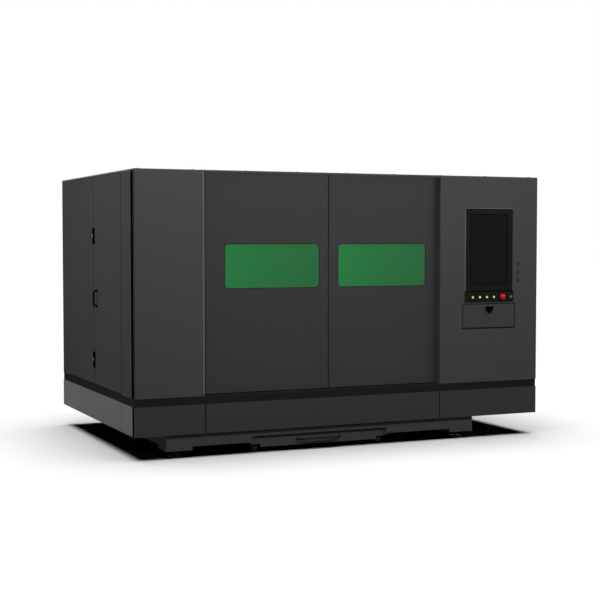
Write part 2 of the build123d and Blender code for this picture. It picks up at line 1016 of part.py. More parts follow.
def keyboard_flap():
    """The flap that folds down, with a round lower edge about its pins."""
    xs, zs = flap_limits()
    y = front + flap_pivot
    z = flap_base + flap_pivot
    body = slab(xs, (front, front + flap_depth), (z, zs[1]))
    body += rod(flap_pivot, (xs[0], y, z), (xs[1], y, z))
    for x, way in ((xs[0], 1), (xs[1], -1)):
        depth = x + way * (flap_pin_length - flap_seam + 1)
        body -= rod(flap_pin_radius + pivot_slack, (x - way, y, z), (depth, y, z))
    x = (xs[0] + xs[1]) / 2
    back = front + flap_depth + 1
    return body - rod(spindle_radius + pivot_slack, (x, front - 1, knob_level), (x, back, knob_level))


def keyboard():
    """The keyboard on the flap's inner face: a thin case with rows of raised keys."""
    xs, _ = flap_limits()
    middle = (xs[0] + xs[1]) / 2
    back = front + flap_depth
    low = flap_base + flap_pivot + keyboard_lift
    case = slab(
        (middle - keyboard_width / 2, middle + keyboard_width / 2),
        (back, back + keyboard_thickness),
        (low, low + keyboard_height),
    )
    case = fillet(case.edges().filter_by(Axis.Y), key_margin)
    wide = (keyboard_width - 2 * key_margin + key_gap) / key_columns
    tall = (keyboard_height - 2 * key_margin + key_gap) / key_rows
    keys = [
        Pos(
            middle - keyboard_width / 2 + key_margin + (column + 0.5) * wide - key_gap / 2,
            back + keyboard_thickness + key_height / 2,
            low + key_margin + (row + 0.5) * tall - key_gap / 2,
        )
        * Box(wide - key_gap, key_height, tall - key_gap)
        for column in range(key_columns)
        for row in range(key_rows)
    ]
    return case + keys


def flap_knob():
    """The quarter-turn knob of the flap: a shield-shaped grip, its spindle and a cam behind."""
    xs, _ = flap_limits()
    x = (xs[0] + xs[1]) / 2
    half = knob_width / 2
    foot = knob_foot_width / 2
    outline = Polyline(
        (-half, knob_top),
        (half, knob_top),
        (half, knob_shoulder),
        (foot, -knob_foot),
        (-foot, -knob_foot),
        (-half, knob_shoulder),
        close=True,
    )
    face = front - face_clearance
    plane = Plane(origin=(x, face, knob_level), x_dir=(1, 0, 0), z_dir=(0, -1, 0))
    profile = fillet(make_face(outline).vertices(), knob_corner)
    grip = extrude(plane * profile, knob_reach)
    grip = chamfer(side_face(grip, "-y").edges(), knob_chamfer)
    back = front + flap_depth
    spindle = rod(spindle_radius, (x, face, knob_level), (x, back + cam_thickness, knob_level))
    cam = slab(
        (x - cam_height / 2, x + cam_length / 2),
        (back + face_clearance, back + cam_thickness),
        (knob_level - cam_height / 3, knob_level + cam_height / 3),
    )
    return grip + spindle + cam


# Base
def base_outline():
    """The front plate's outline: a beam on two legs, cut out above the drawer."""
    cut_left = drawer_x - drawer_width / 2 - drawer_gap
    cut_right = drawer_x + drawer_width / 2 + drawer_gap
    cut_top = drawer_top + drawer_head_room
    points = [
        (base_left, skirt_top),
        (base_left, leg_clearance),
        (base_left + leg_width, leg_clearance),
        (base_left + leg_width, beam_clearance),
        (cut_left, beam_clearance),
        (cut_left, cut_top),
        (cut_right, cut_top),
        (cut_right, beam_clearance),
        (base_right - leg_width, beam_clearance),
        (base_right - leg_width, leg_clearance),
        (base_right, leg_clearance),
        (base_right, skirt_top),
    ]
    return Plane.XZ * make_face(Polyline(*points, close=True))


def base_frame():
    """The welded base: end plates, legs, box beams for the bed and the sill, and the drawer's runners."""
    plate = extrude(base_outline(), base_plate)
    frame = Pos(0, base_front + base_plate, 0) * plate + Pos(0, base_rear, 0) * plate
    beam = (skirt_top - base_tube, skirt_top)
    ys = (base_front + base_plate, base_rear - base_plate)
    for y in (ys[0], ys[1] - base_tube):
        frame += slab((base_left, base_right), (y, y + base_tube), beam)
    for x in (bed_left, bed_right - base_tube):
        frame += slab((x, x + base_tube), ys, beam)
    for x in (base_left, base_right - base_tube):
        frame += slab((x, x + base_tube), ys, (beam_clearance, skirt_top))
    for x in (base_left, base_right - leg_width):
        for y in leg_places():
            frame += slab((x, x + leg_width), (y, y + leg_depth), (leg_clearance, skirt_top))
    for way in (-1, 1):
        near = drawer_x + way * (drawer_width / 2 + face_clearance)
        runner = sorted((near, near + way * runner_width))
        frame += slab(runner, ys, (drawer_floor, drawer_floor + runner_height))
    return frame


def leg_places():
    """Where the three legs of each side start along Y."""
    first = base_front + base_plate
    last = base_rear - base_plate - leg_depth
    return first, (first + last) / 2, last


def levelling_feet():
    """Six feet on studs: a round pad, the stud and its hexagonal nut."""
    feet = []
    for x in (base_left + leg_width / 2, base_right - leg_width / 2):
        for start in leg_places():
            y = start + leg_depth / 2
            pad = Pos(x, y, foot_pad_height / 2) * Cylinder(foot_pad_radius, foot_pad_height)
            pad = chamfer(side_face(pad, "+z").edges(), foot_pad_height / 3)
            stud = rod(foot_stud_radius, (x, y, foot_pad_height), (x, y, leg_clearance))
            nut = extrude(RegularPolygon(foot_nut_radius, 6), foot_nut_height)
            feet.append(pad + stud + Pos(x, y, leg_clearance - foot_nut_height) * nut)
    return feet


# Scrap drawer
def drawer_limits():
    """The drawer's limits along X and along Y."""
    half = drawer_width / 2
    return (drawer_x - half, drawer_x + half), (drawer_front, drawer_end)


def wheel_places():
    """The centre of each drawer wheel, as X and Y."""
    xs, ys = drawer_limits()
    return [
        (x, y)
        for y in (ys[0] + wheel_setback, ys[1] - wheel_setback)
        for x in (xs[0] + wheel_inset, xs[1] - wheel_inset)
    ]


def scrap_drawer():
    """The tray, its notched front and the forks that hold the wheels' axles."""
    xs, ys = drawer_limits()
    tray = slab(xs, ys, (drawer_floor, drawer_top))
    tray = offset(tray, amount=-drawer_wall, openings=[side_face(tray, "+z")])
    skin = (ys[0], ys[0] + drawer_wall)
    apron = slab(xs, skin, (drawer_low, drawer_floor))
    notch_top = drawer_low + drawer_notch_height
    for low, high in ((xs[0] - 1, xs[0] + drawer_notch_width), (xs[1] - drawer_notch_width, xs[1] + 1)):
        apron -= slab((low, high), widened(skin, 1), (drawer_low - 1, notch_top))
    tray += apron
    reach = wheel_width / 2 + face_clearance
    for x, y in wheel_places():
        ear_ys = (y - ear_radius, y + ear_radius)
        for way in (-1, 1):
            inner = x + way * reach
            outer = inner + way * ear_thickness
            tray += slab(sorted((inner, outer)), ear_ys, (wheel_radius, drawer_floor))
            tray += rod(ear_radius, (inner, y, wheel_radius), (outer, y, wheel_radius))
        tray += rod(axle_radius, (x - reach, y, wheel_radius), (x + reach, y, wheel_radius))
    return tray


def drawer_handle():
    """The trapezoid bow handle on the drawer's front."""
    middle = drawer_x + pull_shift
    outer = pull_width / 2
    inner = pull_bar_width / 2
    reach = drawer_front - pull_reach + pull_wire / 2
    seat = drawer_front + pull_wire
    points = [
        (middle - outer, seat, pull_level),
        (middle - inner, reach, pull_level),
        (middle + inner, reach, pull_level),
        (middle + outer, seat, pull_level),
    ]
    bow = bent_bar(points, pull_wire / 2, pull_wire * 1.5)
    behind = slab(
        (middle - pull_width, middle + pull_width),
        (drawer_front, seat + pull_wire),
        (pull_level - pull_wire, pull_level + pull_wire),
    )
    return bow - behind


def drawer_wheel(index):
    """One wheel with bevelled shoulders, bored for its axle."""
    x, y = wheel_places()[index]
    start, end = x - wheel_width / 2, x + wheel_width / 2
    tyre = rod(wheel_radius, (start, y, wheel_radius), (end, y, wheel_radius))
    tyre = chamfer(tyre.edges().filter_by(GeomType.CIRCLE), wheel_chamfer)
    return tyre - rod(axle_radius + axle_slack, (start - 1, y, wheel_radius), (end + 1, y, wheel_radius))


# Cutting bed
def machine_bed():
    """The welded bed: two side beams on posts with gussets, joined at the front and the rear."""
    beam_base = bed_top - bed_beam_height
    beams = [
        slab((x, x + bed_beam_width), (bed_start, bed_end), (beam_base, bed_top))
        for x in (bed_left, bed_right - bed_beam_width)
    ]
    bed = beams[0] + beams[1]
    for x in (bed_left, bed_right - bed_post):
        for y in bed_post_places():
            bed += slab((x, x + bed_post), (y, y + bed_post), (skirt_top, beam_base))
            bed += post_gussets(x + bed_post / 2, y, beam_base)
    ties = (bed_tie_level, bed_tie_level + bed_tie_height)
    for y in (bed_start, bed_end - bed_post):
        bed += slab((bed_left + bed_post, bed_right - bed_post), (y, y + bed_post), ties)
    for x in (bed_left + bed_beam_width, bed_right - bed_beam_width - ledge_width):
        bed += slab((x, x + ledge_width), (rack_front, rack_rear), (rack_base - ledge_height, rack_base))
    return bed


def post_gussets(x, y, level):
    """The triangular plates that brace a post against its beam, fore and aft."""
    plates = []
    for edge, way in ((y, -1), (y + bed_post, 1)):
        tip = edge + way * bed_gusset
        if bed_start <= tip <= bed_end:
            profile = Polyline((edge, level), (tip, level), (edge, level - bed_gusset), close=True)
            plate = Plane.YZ * make_face(profile)
            plates.append(Pos(x, 0, 0) * extrude(plate, bed_gusset_thickness / 2, both=True))
    return plates


def bed_post_places():
    """Where the three posts of each side start along Y."""
    last = bed_end - bed_post
    return bed_start, (bed_start + last) / 2, last


def slat_places():
    """The middle of each slat along Y."""
    pitch = (rack_rear - rack_front) / slat_count
    return [rack_front + (i + 0.5) * pitch for i in range(slat_count)]


def table_frame():
    """The lift-out rack, with a notch in each side wall for every slat."""
    zs = (rack_base, rack_base + rack_height)
    xs, ys = (rack_left, rack_right), (rack_front, rack_rear)
    rack = slab(xs, ys, zs) - slab(widened(xs, -rack_wall), widened(ys, -rack_wall), widened(zs, 1))
    notch_zs = (zs[1] - slat_seat, zs[1] + 1)
    for y in slat_places():
        rack -= slab(widened(xs, 1), widened((y, y), slat_notch / 2), notch_zs)
    return rack


def table_slats():
    """The row of toothed support slats."""
    low = rack_base + rack_height - slat_seat
    pitch = (rack_right - rack_left) / slat_teeth
    points = [(rack_left, low), (rack_left, slat_top - slat_tooth)]
    for i in range(slat_teeth):
        start = rack_left + i * pitch
        points += [(start + pitch / 2, slat_top), (start + pitch, slat_top - slat_tooth)]
    points.append((rack_right, low))
    slat = extrude(Plane.XZ * make_face(Polyline(*points, close=True)), slat_thickness)
    return [Pos(0, y + slat_thickness / 2, 0) * slat for y in slat_places()]


def scrap_chute():
    """The funnel of sloped sheets that leads the scrap from the table to the drawer."""
    xs, _ = drawer_limits()
    ys = (bed_start + chute_setback, drawer_end - chute_foot_inset)
    foot = (widened(xs, -chute_foot_inset), ys)
    mouth = widened((bed_left + bed_beam_width, bed_right - bed_beam_width), chute_lap)
    head = (mouth, (ys[0], bed_end - chute_setback))
    levels = (chute_foot_level, bed_top - bed_beam_height)

    def funnel(wall):
        """The block inside four sloped planes, each moved in by a wall."""
        (x_foot, y_foot), (x_head, y_head) = [
            [widened(limits, -wall) for limits in section] for section in (foot, head)
        ]
        across = slope_profile(x_foot, x_head, levels)
        along = slope_profile(y_foot, y_head, levels)
        wide = extrude(Plane.XZ * across, overall_depth, both=True)
        return wide & extrude(Plane.YZ * along, overall_width, both=True)

    return funnel(0) - funnel(chute_wall)


def slope_profile(foot, head, levels):
    """The face between two pairs of limits at two levels."""
    corners = [(foot[0], levels[0]), (foot[1], levels[0]), (head[1], levels[1]), (head[0], levels[1])]
    return make_face(Polyline(*corners, close=True))


# Gantry
def guide_rails():
    """The linear rails on the bed, each with ball grooves, and the magnet track beside each."""
    pieces = []
    half = guide_rail_width / 2
    step = guide_rail_height / 4
    for middle in rail_lines():
        right_side = [
            (half, 0),
            (half, step),
            (half - guide_rail_waist, 1.5 * step),
            (half - guide_rail_waist, 2.5 * step),
            (half, 3 * step),
            (half, 4 * step),
        ]
        outline = right_side + [(-x, z) for x, z in reversed(right_side)]
        profile = Plane.XZ * make_face(Polyline(*outline, close=True))
        rail = extrude(profile, bed_start - bed_end)
        pieces.append(Pos(middle, bed_start, bed_top) * rail)
        track = magnet_start(middle)
        track_zs = (bed_top, bed_top + magnet_height)
        pieces.append(slab((track, track + magnet_width), (bed_start, bed_end), track_zs))
    return pieces


def rail_lines():
    """The X of the two guide rails."""
    inset = guide_rail_width / 2 + magnet_gap
    return bed_left + inset, bed_right - inset


def magnet_start(middle):
    """The low X of the magnet track inboard of a rail."""
    clear = block_width / 2 + face_clearance
    return middle + clear if middle < bed_x else middle - clear - magnet_width


def gantry_beam():
    """The box beam with its bearing blocks, motor coils and cross rails."""
    xs = (bed_left, bed_right)
    ys = (gantry_front, gantry_front + gantry_depth)
    zs = (gantry_base, gantry_top)
    beam = slab(xs, ys, zs) - slab(widened(xs, 1), widened(ys, -gantry_wall), widened(zs, -gantry_wall))
    for middle in rail_lines():
        block_xs = (max(middle - block_width / 2, bed_left), min(middle + block_width / 2, bed_right))
        block = slab(block_xs, ys, (bed_top + guide_rail_height - block_cover, zs[0]))
        half = guide_rail_width / 2 + face_clearance
        channel_top = bed_top + guide_rail_height + face_clearance
        channel = slab((middle - half, middle + half), widened(ys, 1), (bed_top, channel_top))
        track = magnet_start(middle)
        coil_base = bed_top + magnet_height + 2 * face_clearance
        beam += block - channel + slab((track, track + magnet_width), ys, (coil_base, zs[0]))
    for level in cross_rail_levels():
        beam += slab(xs, (ys[0] - cross_rail_depth, ys[0]), (level, level + cross_rail_height))
    return beam + gantry_ribs() - gantry_windows()


def gantry_ribs():
    """The end plates and the ribs between the bays, inside the beam."""
    pitch = (bed_right - bed_left - gantry_rib) / gantry_bays
    ys = widened((gantry_front, gantry_front + gantry_depth), -gantry_wall)
    zs = widened((gantry_base, gantry_top), -gantry_wall)
    starts = [bed_left + i * pitch for i in range(gantry_bays + 1)]
    return [slab((x, x + gantry_rib), ys, zs) for x in starts]


def gantry_windows():
    """The lightening windows in the beam's rear wall, one to a bay."""
    pitch = (bed_right - bed_left - gantry_rib) / gantry_bays
    skin = (gantry_front + gantry_depth - gantry_wall - 1, gantry_front + gantry_depth + 1)
    zs = widened((gantry_base, gantry_top), -gantry_bay_margin)
    middles = [bed_left + gantry_rib / 2 + (i + 0.5) * pitch for i in range(gantry_bays)]
    half = (pitch - gantry_bay_gap) / 2
    return [window_cut((x - half, x + half), skin, zs, gantry_bay_radius) for x in middles]


def cross_rail_levels():
    """The low Z of the two cross rails."""
    return gantry_base + cross_rail_inset, gantry_top - cross_rail_inset - cross_rail_height


def carriage_face():
    """The Y of the carriage plate's front face."""
    return gantry_front - cross_rail_depth - face_clearance - carriage_thickness


def head_carriage():
    """The plate that runs along the beam, with shoes on the cross rails and the head's own rail."""
    face = carriage_face()
    xs = (bed_x - carriage_width / 2, bed_x + carriage_width / 2)
    body = slab(xs, (face, face + carriage_thickness), (gantry_base, gantry_top))
    for level in cross_rail_levels():
        rail = (level, level + cross_rail_height)
        body += slab(xs, (face, gantry_front - carriage_lip / 2), widened(rail, carriage_lip))
        groove = (gantry_front - cross_rail_depth - face_clearance, gantry_front)
        body -= slab(widened(xs, 1), groove, widened(rail, face_clearance))
    rail_xs = (bed_x - slide_rail_width / 2, bed_x + slide_rail_width / 2)
    body += slab(rail_xs, (face - slide_rail_depth, face), (gantry_base, gantry_top))
    return body + lift_servo(face)


def lift_servo(face):
    """The servo motor that lifts the head, on its bracket over the beam."""
    xs = (bed_x - servo_width / 2, bed_x + servo_width / 2)
    ys = (face, face + servo_width)
    low = gantry_top + face_clearance
    foot = slab(xs, (face, face + carriage_thickness), (gantry_top, low))
    bracket = slab(widened(xs, servo_step), ys, (low, low + servo_bracket))
    body_top = low + servo_bracket + servo_height
    body = slab(xs, ys, (low + servo_bracket, body_top))
    body = chamfer(body.edges().filter_by(Axis.Z), servo_step)
    cap = slab(widened(xs, -servo_step), widened(ys, -servo_step), (body_top, body_top + servo_cap))
    return foot + bracket + body + cap


def slide_front():
    """The Y of the head slide's front face."""
    return carriage_face() - slide_rail_depth - slide_thickness


def cutting_head():
    """The vertical slide with the clamped optical head and its nozzle."""
    y = slide_front()
    tip = slat_top + nozzle_standoff + head_travel
    low = tip + nozzle_length
    zs = (low, low + slide_height)
    xs = (bed_x - slide_width / 2, bed_x + slide_width / 2)
    body = slab(xs, (y, carriage_face() - sheet), zs)
    groove = slide_rail_width / 2 + face_clearance
    groove_ys = (y + slide_thickness - face_clearance, carriage_face())
    body -= slab((bed_x - groove, bed_x + groove), groove_ys, widened(zs, 1))
    axis = y - head_clamp_depth
    for level in (low + slide_height / 4, low + slide_height * 3 / 4):
        body += slab(xs, (axis, y), (level - head_clamp_depth, level + head_clamp_depth))
    body += Pos(bed_x, axis, 0) * optical_tube(tip, low)
    cartridge = low + cartridge_rise
    half = cartridge_width / 2
    return body + slab(
        (bed_x - half, bed_x + half),
        (axis - cartridge_reach, axis),
        (cartridge, cartridge + cartridge_height),
    )


def optical_tube(tip, low):
    """The turned column: nozzle, sensor ring, grooved focusing body, collimator and fibre plug."""
    neck = tip + nozzle_cone
    top = low + head_length
    shoulder = top - collimator_length
    points = [
        (0, tip),
        (nozzle_tip_radius, tip),
        (nozzle_radius, neck),
        (sensor_radius, neck),
        (sensor_radius, neck + sensor_height),
        (head_radius, low),
    ]
    for i in range(head_grooves):
        start = shoulder - (2 * head_grooves - 2 * i) * head_groove_height
        points += [
            (head_radius, start),
            (head_radius - head_groove, start),
            (head_radius - head_groove, start + head_groove_height),
            (head_radius, start + head_groove_height),
        ]
    points += [
        (head_radius, shoulder),
        (collimator_radius, shoulder),
        (collimator_radius, top),
        (fibre_plug_radius, top),
        (fibre_plug_radius, top + fibre_plug_length),
        (0, top + fibre_plug_length),
    ]
    return revolve(Plane.XZ * make_face(Polyline(*points, close=True)), Axis.Z)


# Cabinets
def partitions():
    """The walls between the work chamber and the cabinets, each with its cabinet's floor."""
    ys = (frame_front, rear - panel_return)
    zs = (sill_top, roof_base - tube)
    wall_left = slab((chamber_left, chamber_left + sheet), ys, zs)
    wall_right = slab((chamber_right - sheet, chamber_right), ys, zs)
    floor_ys = (frame_front + tube, rear - frame_side - tube)
    shelf_zs = (shelf_level(), shelf_level() + shelf_thickness)
    shelf = slab((left + frame_side, chamber_left), floor_ys, shelf_zs)
    floor = slab((chamber_right, right - frame_side), floor_ys, (sill_top, sill_top + shelf_thickness))
    return [wall_left + shelf, wall_right + floor]


def shelf_level():
    """The height of the shelf in the left cabinet."""
    return sill_top + louvre_pitch


def laser_source():
    """The laser source on the shelf: a case on feet, with a slotted face, two handles and a port."""
    low = chamber_left - tube - laser_width
    start = front + laser_start
    base = shelf_level() + shelf_thickness + laser_foot
    xs = (low, low + laser_width)
    ys = (start, start + laser_length)
    case = slab(xs, ys, (base, base + laser_height))
    case = chamfer(case.edges().filter_by(Axis.Z), bend_radius)
    middle = base + laser_height / 2
    slot_zs = widened((middle, middle), laser_slot_height / 2)
    first = (ys[0] + ys[1] - laser_slots * laser_slot_pitch) / 2
    for i in range(laser_slots):
        y = first + i * laser_slot_pitch
        case -= slab((low - 1, low + laser_slot_depth), (y, y + laser_slot_width), slot_zs)
    for place in (ys[0] + laser_handle_inset, ys[1] - laser_handle_inset):
        case += Pos(low, place, middle - handle_height / 2) * bow(handle_reach, handle_height)
    for x in (xs[0], xs[1] - laser_foot_width):
        for y in (ys[0] + laser_foot_width, ys[1] - 2 * laser_foot_width):
            foot_xs = (x + bend_radius, x + laser_foot_width)
            case += slab(foot_xs, (y, y + laser_foot_width), (base - laser_foot, base))
    port = (ys[0] + ys[1]) / 2
    return case + rod(fibre_port_radius, (xs[1], port, middle), (xs[1] + fibre_port_length, port, middle))


def drive_rack():
    """The mounting plate on the cabinet's inner wall, with drives between two wiring ducts."""
    y = front + drive_plate_start
    z = drive_plate_base
    face = chamber_left - 2 * sheet
    rack = slab((face, chamber_left), (y, y + drive_plate_length), (z, z + drive_plate_height))
    middle = z + drive_plate_height / 2
    pitch = drive_plate_length / (drive_count + 1)
    drive_zs = (middle - drive_height / 2, middle + drive_height / 2)
    for i in range(drive_count):
        low = y + (i + 1) * pitch - drive_width / 2
        rack += slab((face - drive_depth, face), (low, low + drive_width), drive_zs)
        rack -= drive_gaps(face - drive_depth, low, drive_zs)
    strip = (y + duct_strip, y + drive_plate_length - duct_strip)
    for level in (z + duct_strip, z + drive_plate_height - 2 * duct_strip):
        rack += slab((face - duct_strip, face), strip, (level, level + duct_strip))
        rack -= duct_gaps(face - duct_strip, strip, level)
    return rack


def drive_gaps(face, low, zs):
    """The gaps between the cooling fins in the front of one drive."""
    pitch = drive_width / (2 * drive_fins + 1)
    starts = [low + (2 * i + 1) * pitch for i in range(drive_fins)]
    return [slab((face - 1, face + drive_fin_depth), (y, y + pitch), widened(zs, 1)) for y in starts]


def duct_gaps(face, strip, level):
    """The wire slots in the upper half of one duct's front."""
    count = int((strip[1] - strip[0]) / duct_strip)
    pitch = (strip[1] - strip[0]) / count
    zs = (level + duct_strip / 2, level + duct_strip + 1)
    starts = [strip[0] + (i + 0.5) * pitch for i in range(count)]
    return [slab((face - 1, face + duct_slot_depth), (y, y + duct_slot), zs) for y in starts]


nodes = {
    "base_frame": base_frame(),
    "levelling_feet": levelling_feet(),
    "machine_bed": machine_bed(),
    "table_frame": table_frame(),
    "table_slats": table_slats(),
    "scrap_chute": scrap_chute(),
    "guide_rails": guide_rails(),
    "sill_ring": sill_ring(),
    "enclosure_frame": enclosure_frame(),
    "front_corner_posts": front_corner_posts(),
    "partitions": partitions(),
    "front_panel_left": front_panel_left(),
    "console_panel": console_panel(),
    "front_skirt_left": front_skirt_left(),
    "front_skirt_centre": front_skirt_centre(),
    "front_skirt_right": front_skirt_right(),
    "side_panel_front": side_panel_front(),
    "side_panel_rear": side_panel_rear(),
    "side_door_pivots": side_door_pivots(),
    "side_skirt_left": side_skirt_left(),
    "side_skirt_right": side_skirt_right(),
    "rear_skirt": rear_skirt(),
    "right_side_panels": right_side_panels(),
    "rear_panels": rear_panels(),
    "roof_panel": roof_panel(),
    "exhaust_collar": exhaust_collar(),
    "door_rail": door_rail(),
    "screen_housing": screen_housing(),
    "screen_glass": screen_glass(),
    "button_plate": button_plate(),
    "indicator_lamps": indicator_lamps(),
    "laser_source": laser_source(),
    "drive_rack": drive_rack(),
    "front_door_left": door_leaf(-1),
    "window_left": window_pane(-1),
    "front_door_right": door_leaf(1),
    "window_right": window_pane(1),
    "side_door_front": side_door_front(),
    "side_door_handle": side_door_handle(),
    "side_door_rear": side_door_rear(),
    "latch_upper": latch_lever(lever_high),
    "latch_lower": latch_lever(lever_low),
    "keyboard_flap": keyboard_flap(),
    "keyboard": keyboard(),
    "flap_knob": flap_knob(),
    "estop_button": estop_button(),
    "selector_switch": selector_switch(),
    "scrap_drawer": scrap_drawer(),
    "drawer_handle": drawer_handle(),
    "gantry_beam": gantry_beam(),
    "head_carriage": head_carriage(),
    "cutting_head": cutting_head(),
}
for index in range(button_count):
    nodes[f"push_button_{index + 1}"] = push_button(index)
for index in range(len(wheel_places())):
    nodes[f"drawer_wheel_{index + 1}"] = drawer_wheel(index)

os.makedirs("parts", exist_ok=True)
for name, shape in nodes.items():
    whole = Compound(children=list(shape)) if isinstance(shape, list) else shape
    export_step(whole, f"parts/{name}.step")
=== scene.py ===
"""Dresses a fiber laser cutting machine: finishes for its solids, its fine pieces, a studio and a camera."""

import logging
import math
from dataclasses import dataclass, field
from enum import Enum
from typing import Iterable, Optional, Sequence, Union

import bmesh
import bpy
from mathutils import Matrix, Vector


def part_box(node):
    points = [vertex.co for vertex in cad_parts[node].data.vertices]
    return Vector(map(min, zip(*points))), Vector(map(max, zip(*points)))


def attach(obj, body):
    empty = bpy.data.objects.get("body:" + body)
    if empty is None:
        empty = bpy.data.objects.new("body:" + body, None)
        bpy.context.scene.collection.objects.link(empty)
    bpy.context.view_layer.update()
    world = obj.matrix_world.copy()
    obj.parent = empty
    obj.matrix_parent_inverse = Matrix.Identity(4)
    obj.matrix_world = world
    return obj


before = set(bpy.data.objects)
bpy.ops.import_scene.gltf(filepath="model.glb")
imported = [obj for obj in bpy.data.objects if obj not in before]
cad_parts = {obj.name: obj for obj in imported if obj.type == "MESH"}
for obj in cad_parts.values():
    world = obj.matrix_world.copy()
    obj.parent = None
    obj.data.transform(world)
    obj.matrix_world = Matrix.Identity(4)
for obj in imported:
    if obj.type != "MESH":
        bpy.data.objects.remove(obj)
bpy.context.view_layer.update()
log = logging.getLogger("machine")

Colour = tuple[float, float, float]
Point = tuple[float, float, float]
Size = tuple[float, float]
# A plate's width and height, thickness, corner radius and the rounding of its front edge.
Plate = tuple[Size, float, float, float]
# A disc's radius, thickness, rounding and sides, or a ring's radius, band, height and steps.
Round = tuple[float, float, float, int]
Number = Union[int, float]
Mesh = bmesh.types.BMesh
Socket = bpy.types.NodeSocket
Material = bpy.types.Material
Thing = bpy.types.Object


class Axis(Enum):
    """The way that a flat or turned piece faces."""

    FRONT = Matrix.Rotation(math.radians(90), 4, "X")
    BACK = Matrix.Rotation(math.radians(-90), 4, "X")
    LEFT = Matrix.Rotation(math.radians(-90), 4, "Y")
    RIGHT = Matrix.Rotation(math.radians(90), 4, "Y")
    UP = Matrix.Identity(4)


def shade(code: str, factor: float = 1.0) -> Colour:
    """Turns a display colour into the linear colour that a shader takes.

    Args:
        code: Six hexadecimal digits.
        factor: How much lighter or darker to make it.

    Returns:
        The linear red, green and blue.
    """
    parts = [int(code[i:i + 2], 16) / 255 for i in (0, 2, 4)]
    linear = [c / 12.92 if c <= 0.04045 else ((c + 0.055) / 1.055) ** 2.4 for c in parts]
    return tuple(min(1.0, part * factor) for part in linear)


class Value:
    """A number socket, whose arithmetic adds Math nodes to the tree."""

    def __init__(self, nodes: "Nodes", socket: Socket) -> None:
        """Keeps the socket and the tree that it belongs to."""
        self.nodes = nodes
        self.socket = socket

    def _math(self, operation: str, *terms: Union["Value", Number]) -> "Value":
        """Adds one Math node.

        Args:
            operation: The node's operation.
            terms: The values of its inputs, in order.

        Returns:
            The node's result.
        """
        node = self.nodes.node("ShaderNodeMath", {"operation": operation}, dict(enumerate(terms)))
        return Value(self.nodes, node.outputs[0])

    def __add__(self, other: Union["Value", Number]) -> "Value":
        """self + other."""
        return self._math("ADD", self, other)

    def __sub__(self, other: Union["Value", Number]) -> "Value":
        """self - other."""
        return self._math("SUBTRACT", self, other)

    def __rsub__(self, other: Number) -> "Value":
        """other - self."""
        return self._math("SUBTRACT", other, self)

    def __mul__(self, other: Union["Value", Number]) -> "Value":
        """self * other."""
        return self._math("MULTIPLY", self, other)

    __radd__ = __add__
    __rmul__ = __mul__

    def __truediv__(self, other: Union["Value", Number]) -> "Value":
        """self / other."""
        return self._math("DIVIDE", self, other)

    def __pow__(self, power: Number) -> "Value":
        """self to a power."""
        return self._math("POWER", self, power)

    def most(self, other: Union["Value", Number]) -> "Value":
        """The larger of two values."""
        return self._math("MAXIMUM", self, other)

    def clamp(self) -> "Value":
        """Limits the value to between 0 and 1."""
        return self._math("MINIMUM", self.most(0.0), 1.0)

    def above(self, limit: Number) -> "Value":
        """1 where the value is above the limit, and 0 elsewhere."""
        return self._math("GREATER_THAN", self, limit)


class Nodes:
    """A node tree, with a single way to add nodes."""

    def __init__(self, tree: bpy.types.NodeTree) -> None:
        """Empties the tree."""
        self.tree = tree
        tree.nodes.clear()

    def node(
        self, kind: str, settings: Optional[dict] = None, inputs: Optional[dict] = None
    ) -> bpy.types.Node:
        """Adds a node.

        Args:
            kind: The node's type.
            settings: Attributes to set first.
            inputs: Values or links of its input sockets, by name or number.

        Returns:
            The new node.
        """
        made = self.tree.nodes.new(kind)
        for key, value in (settings or {}).items():
            setattr(made, key, value)
        for key, value in (inputs or {}).items():
            socket = made.inputs[key]
            if isinstance(value, Value):
                value = value.socket
            if isinstance(value, Socket):
                self.tree.links.new(value, socket)
            else:
                socket.default_value = (*value, 1.0) if socket.type == "RGBA" else value
        return made


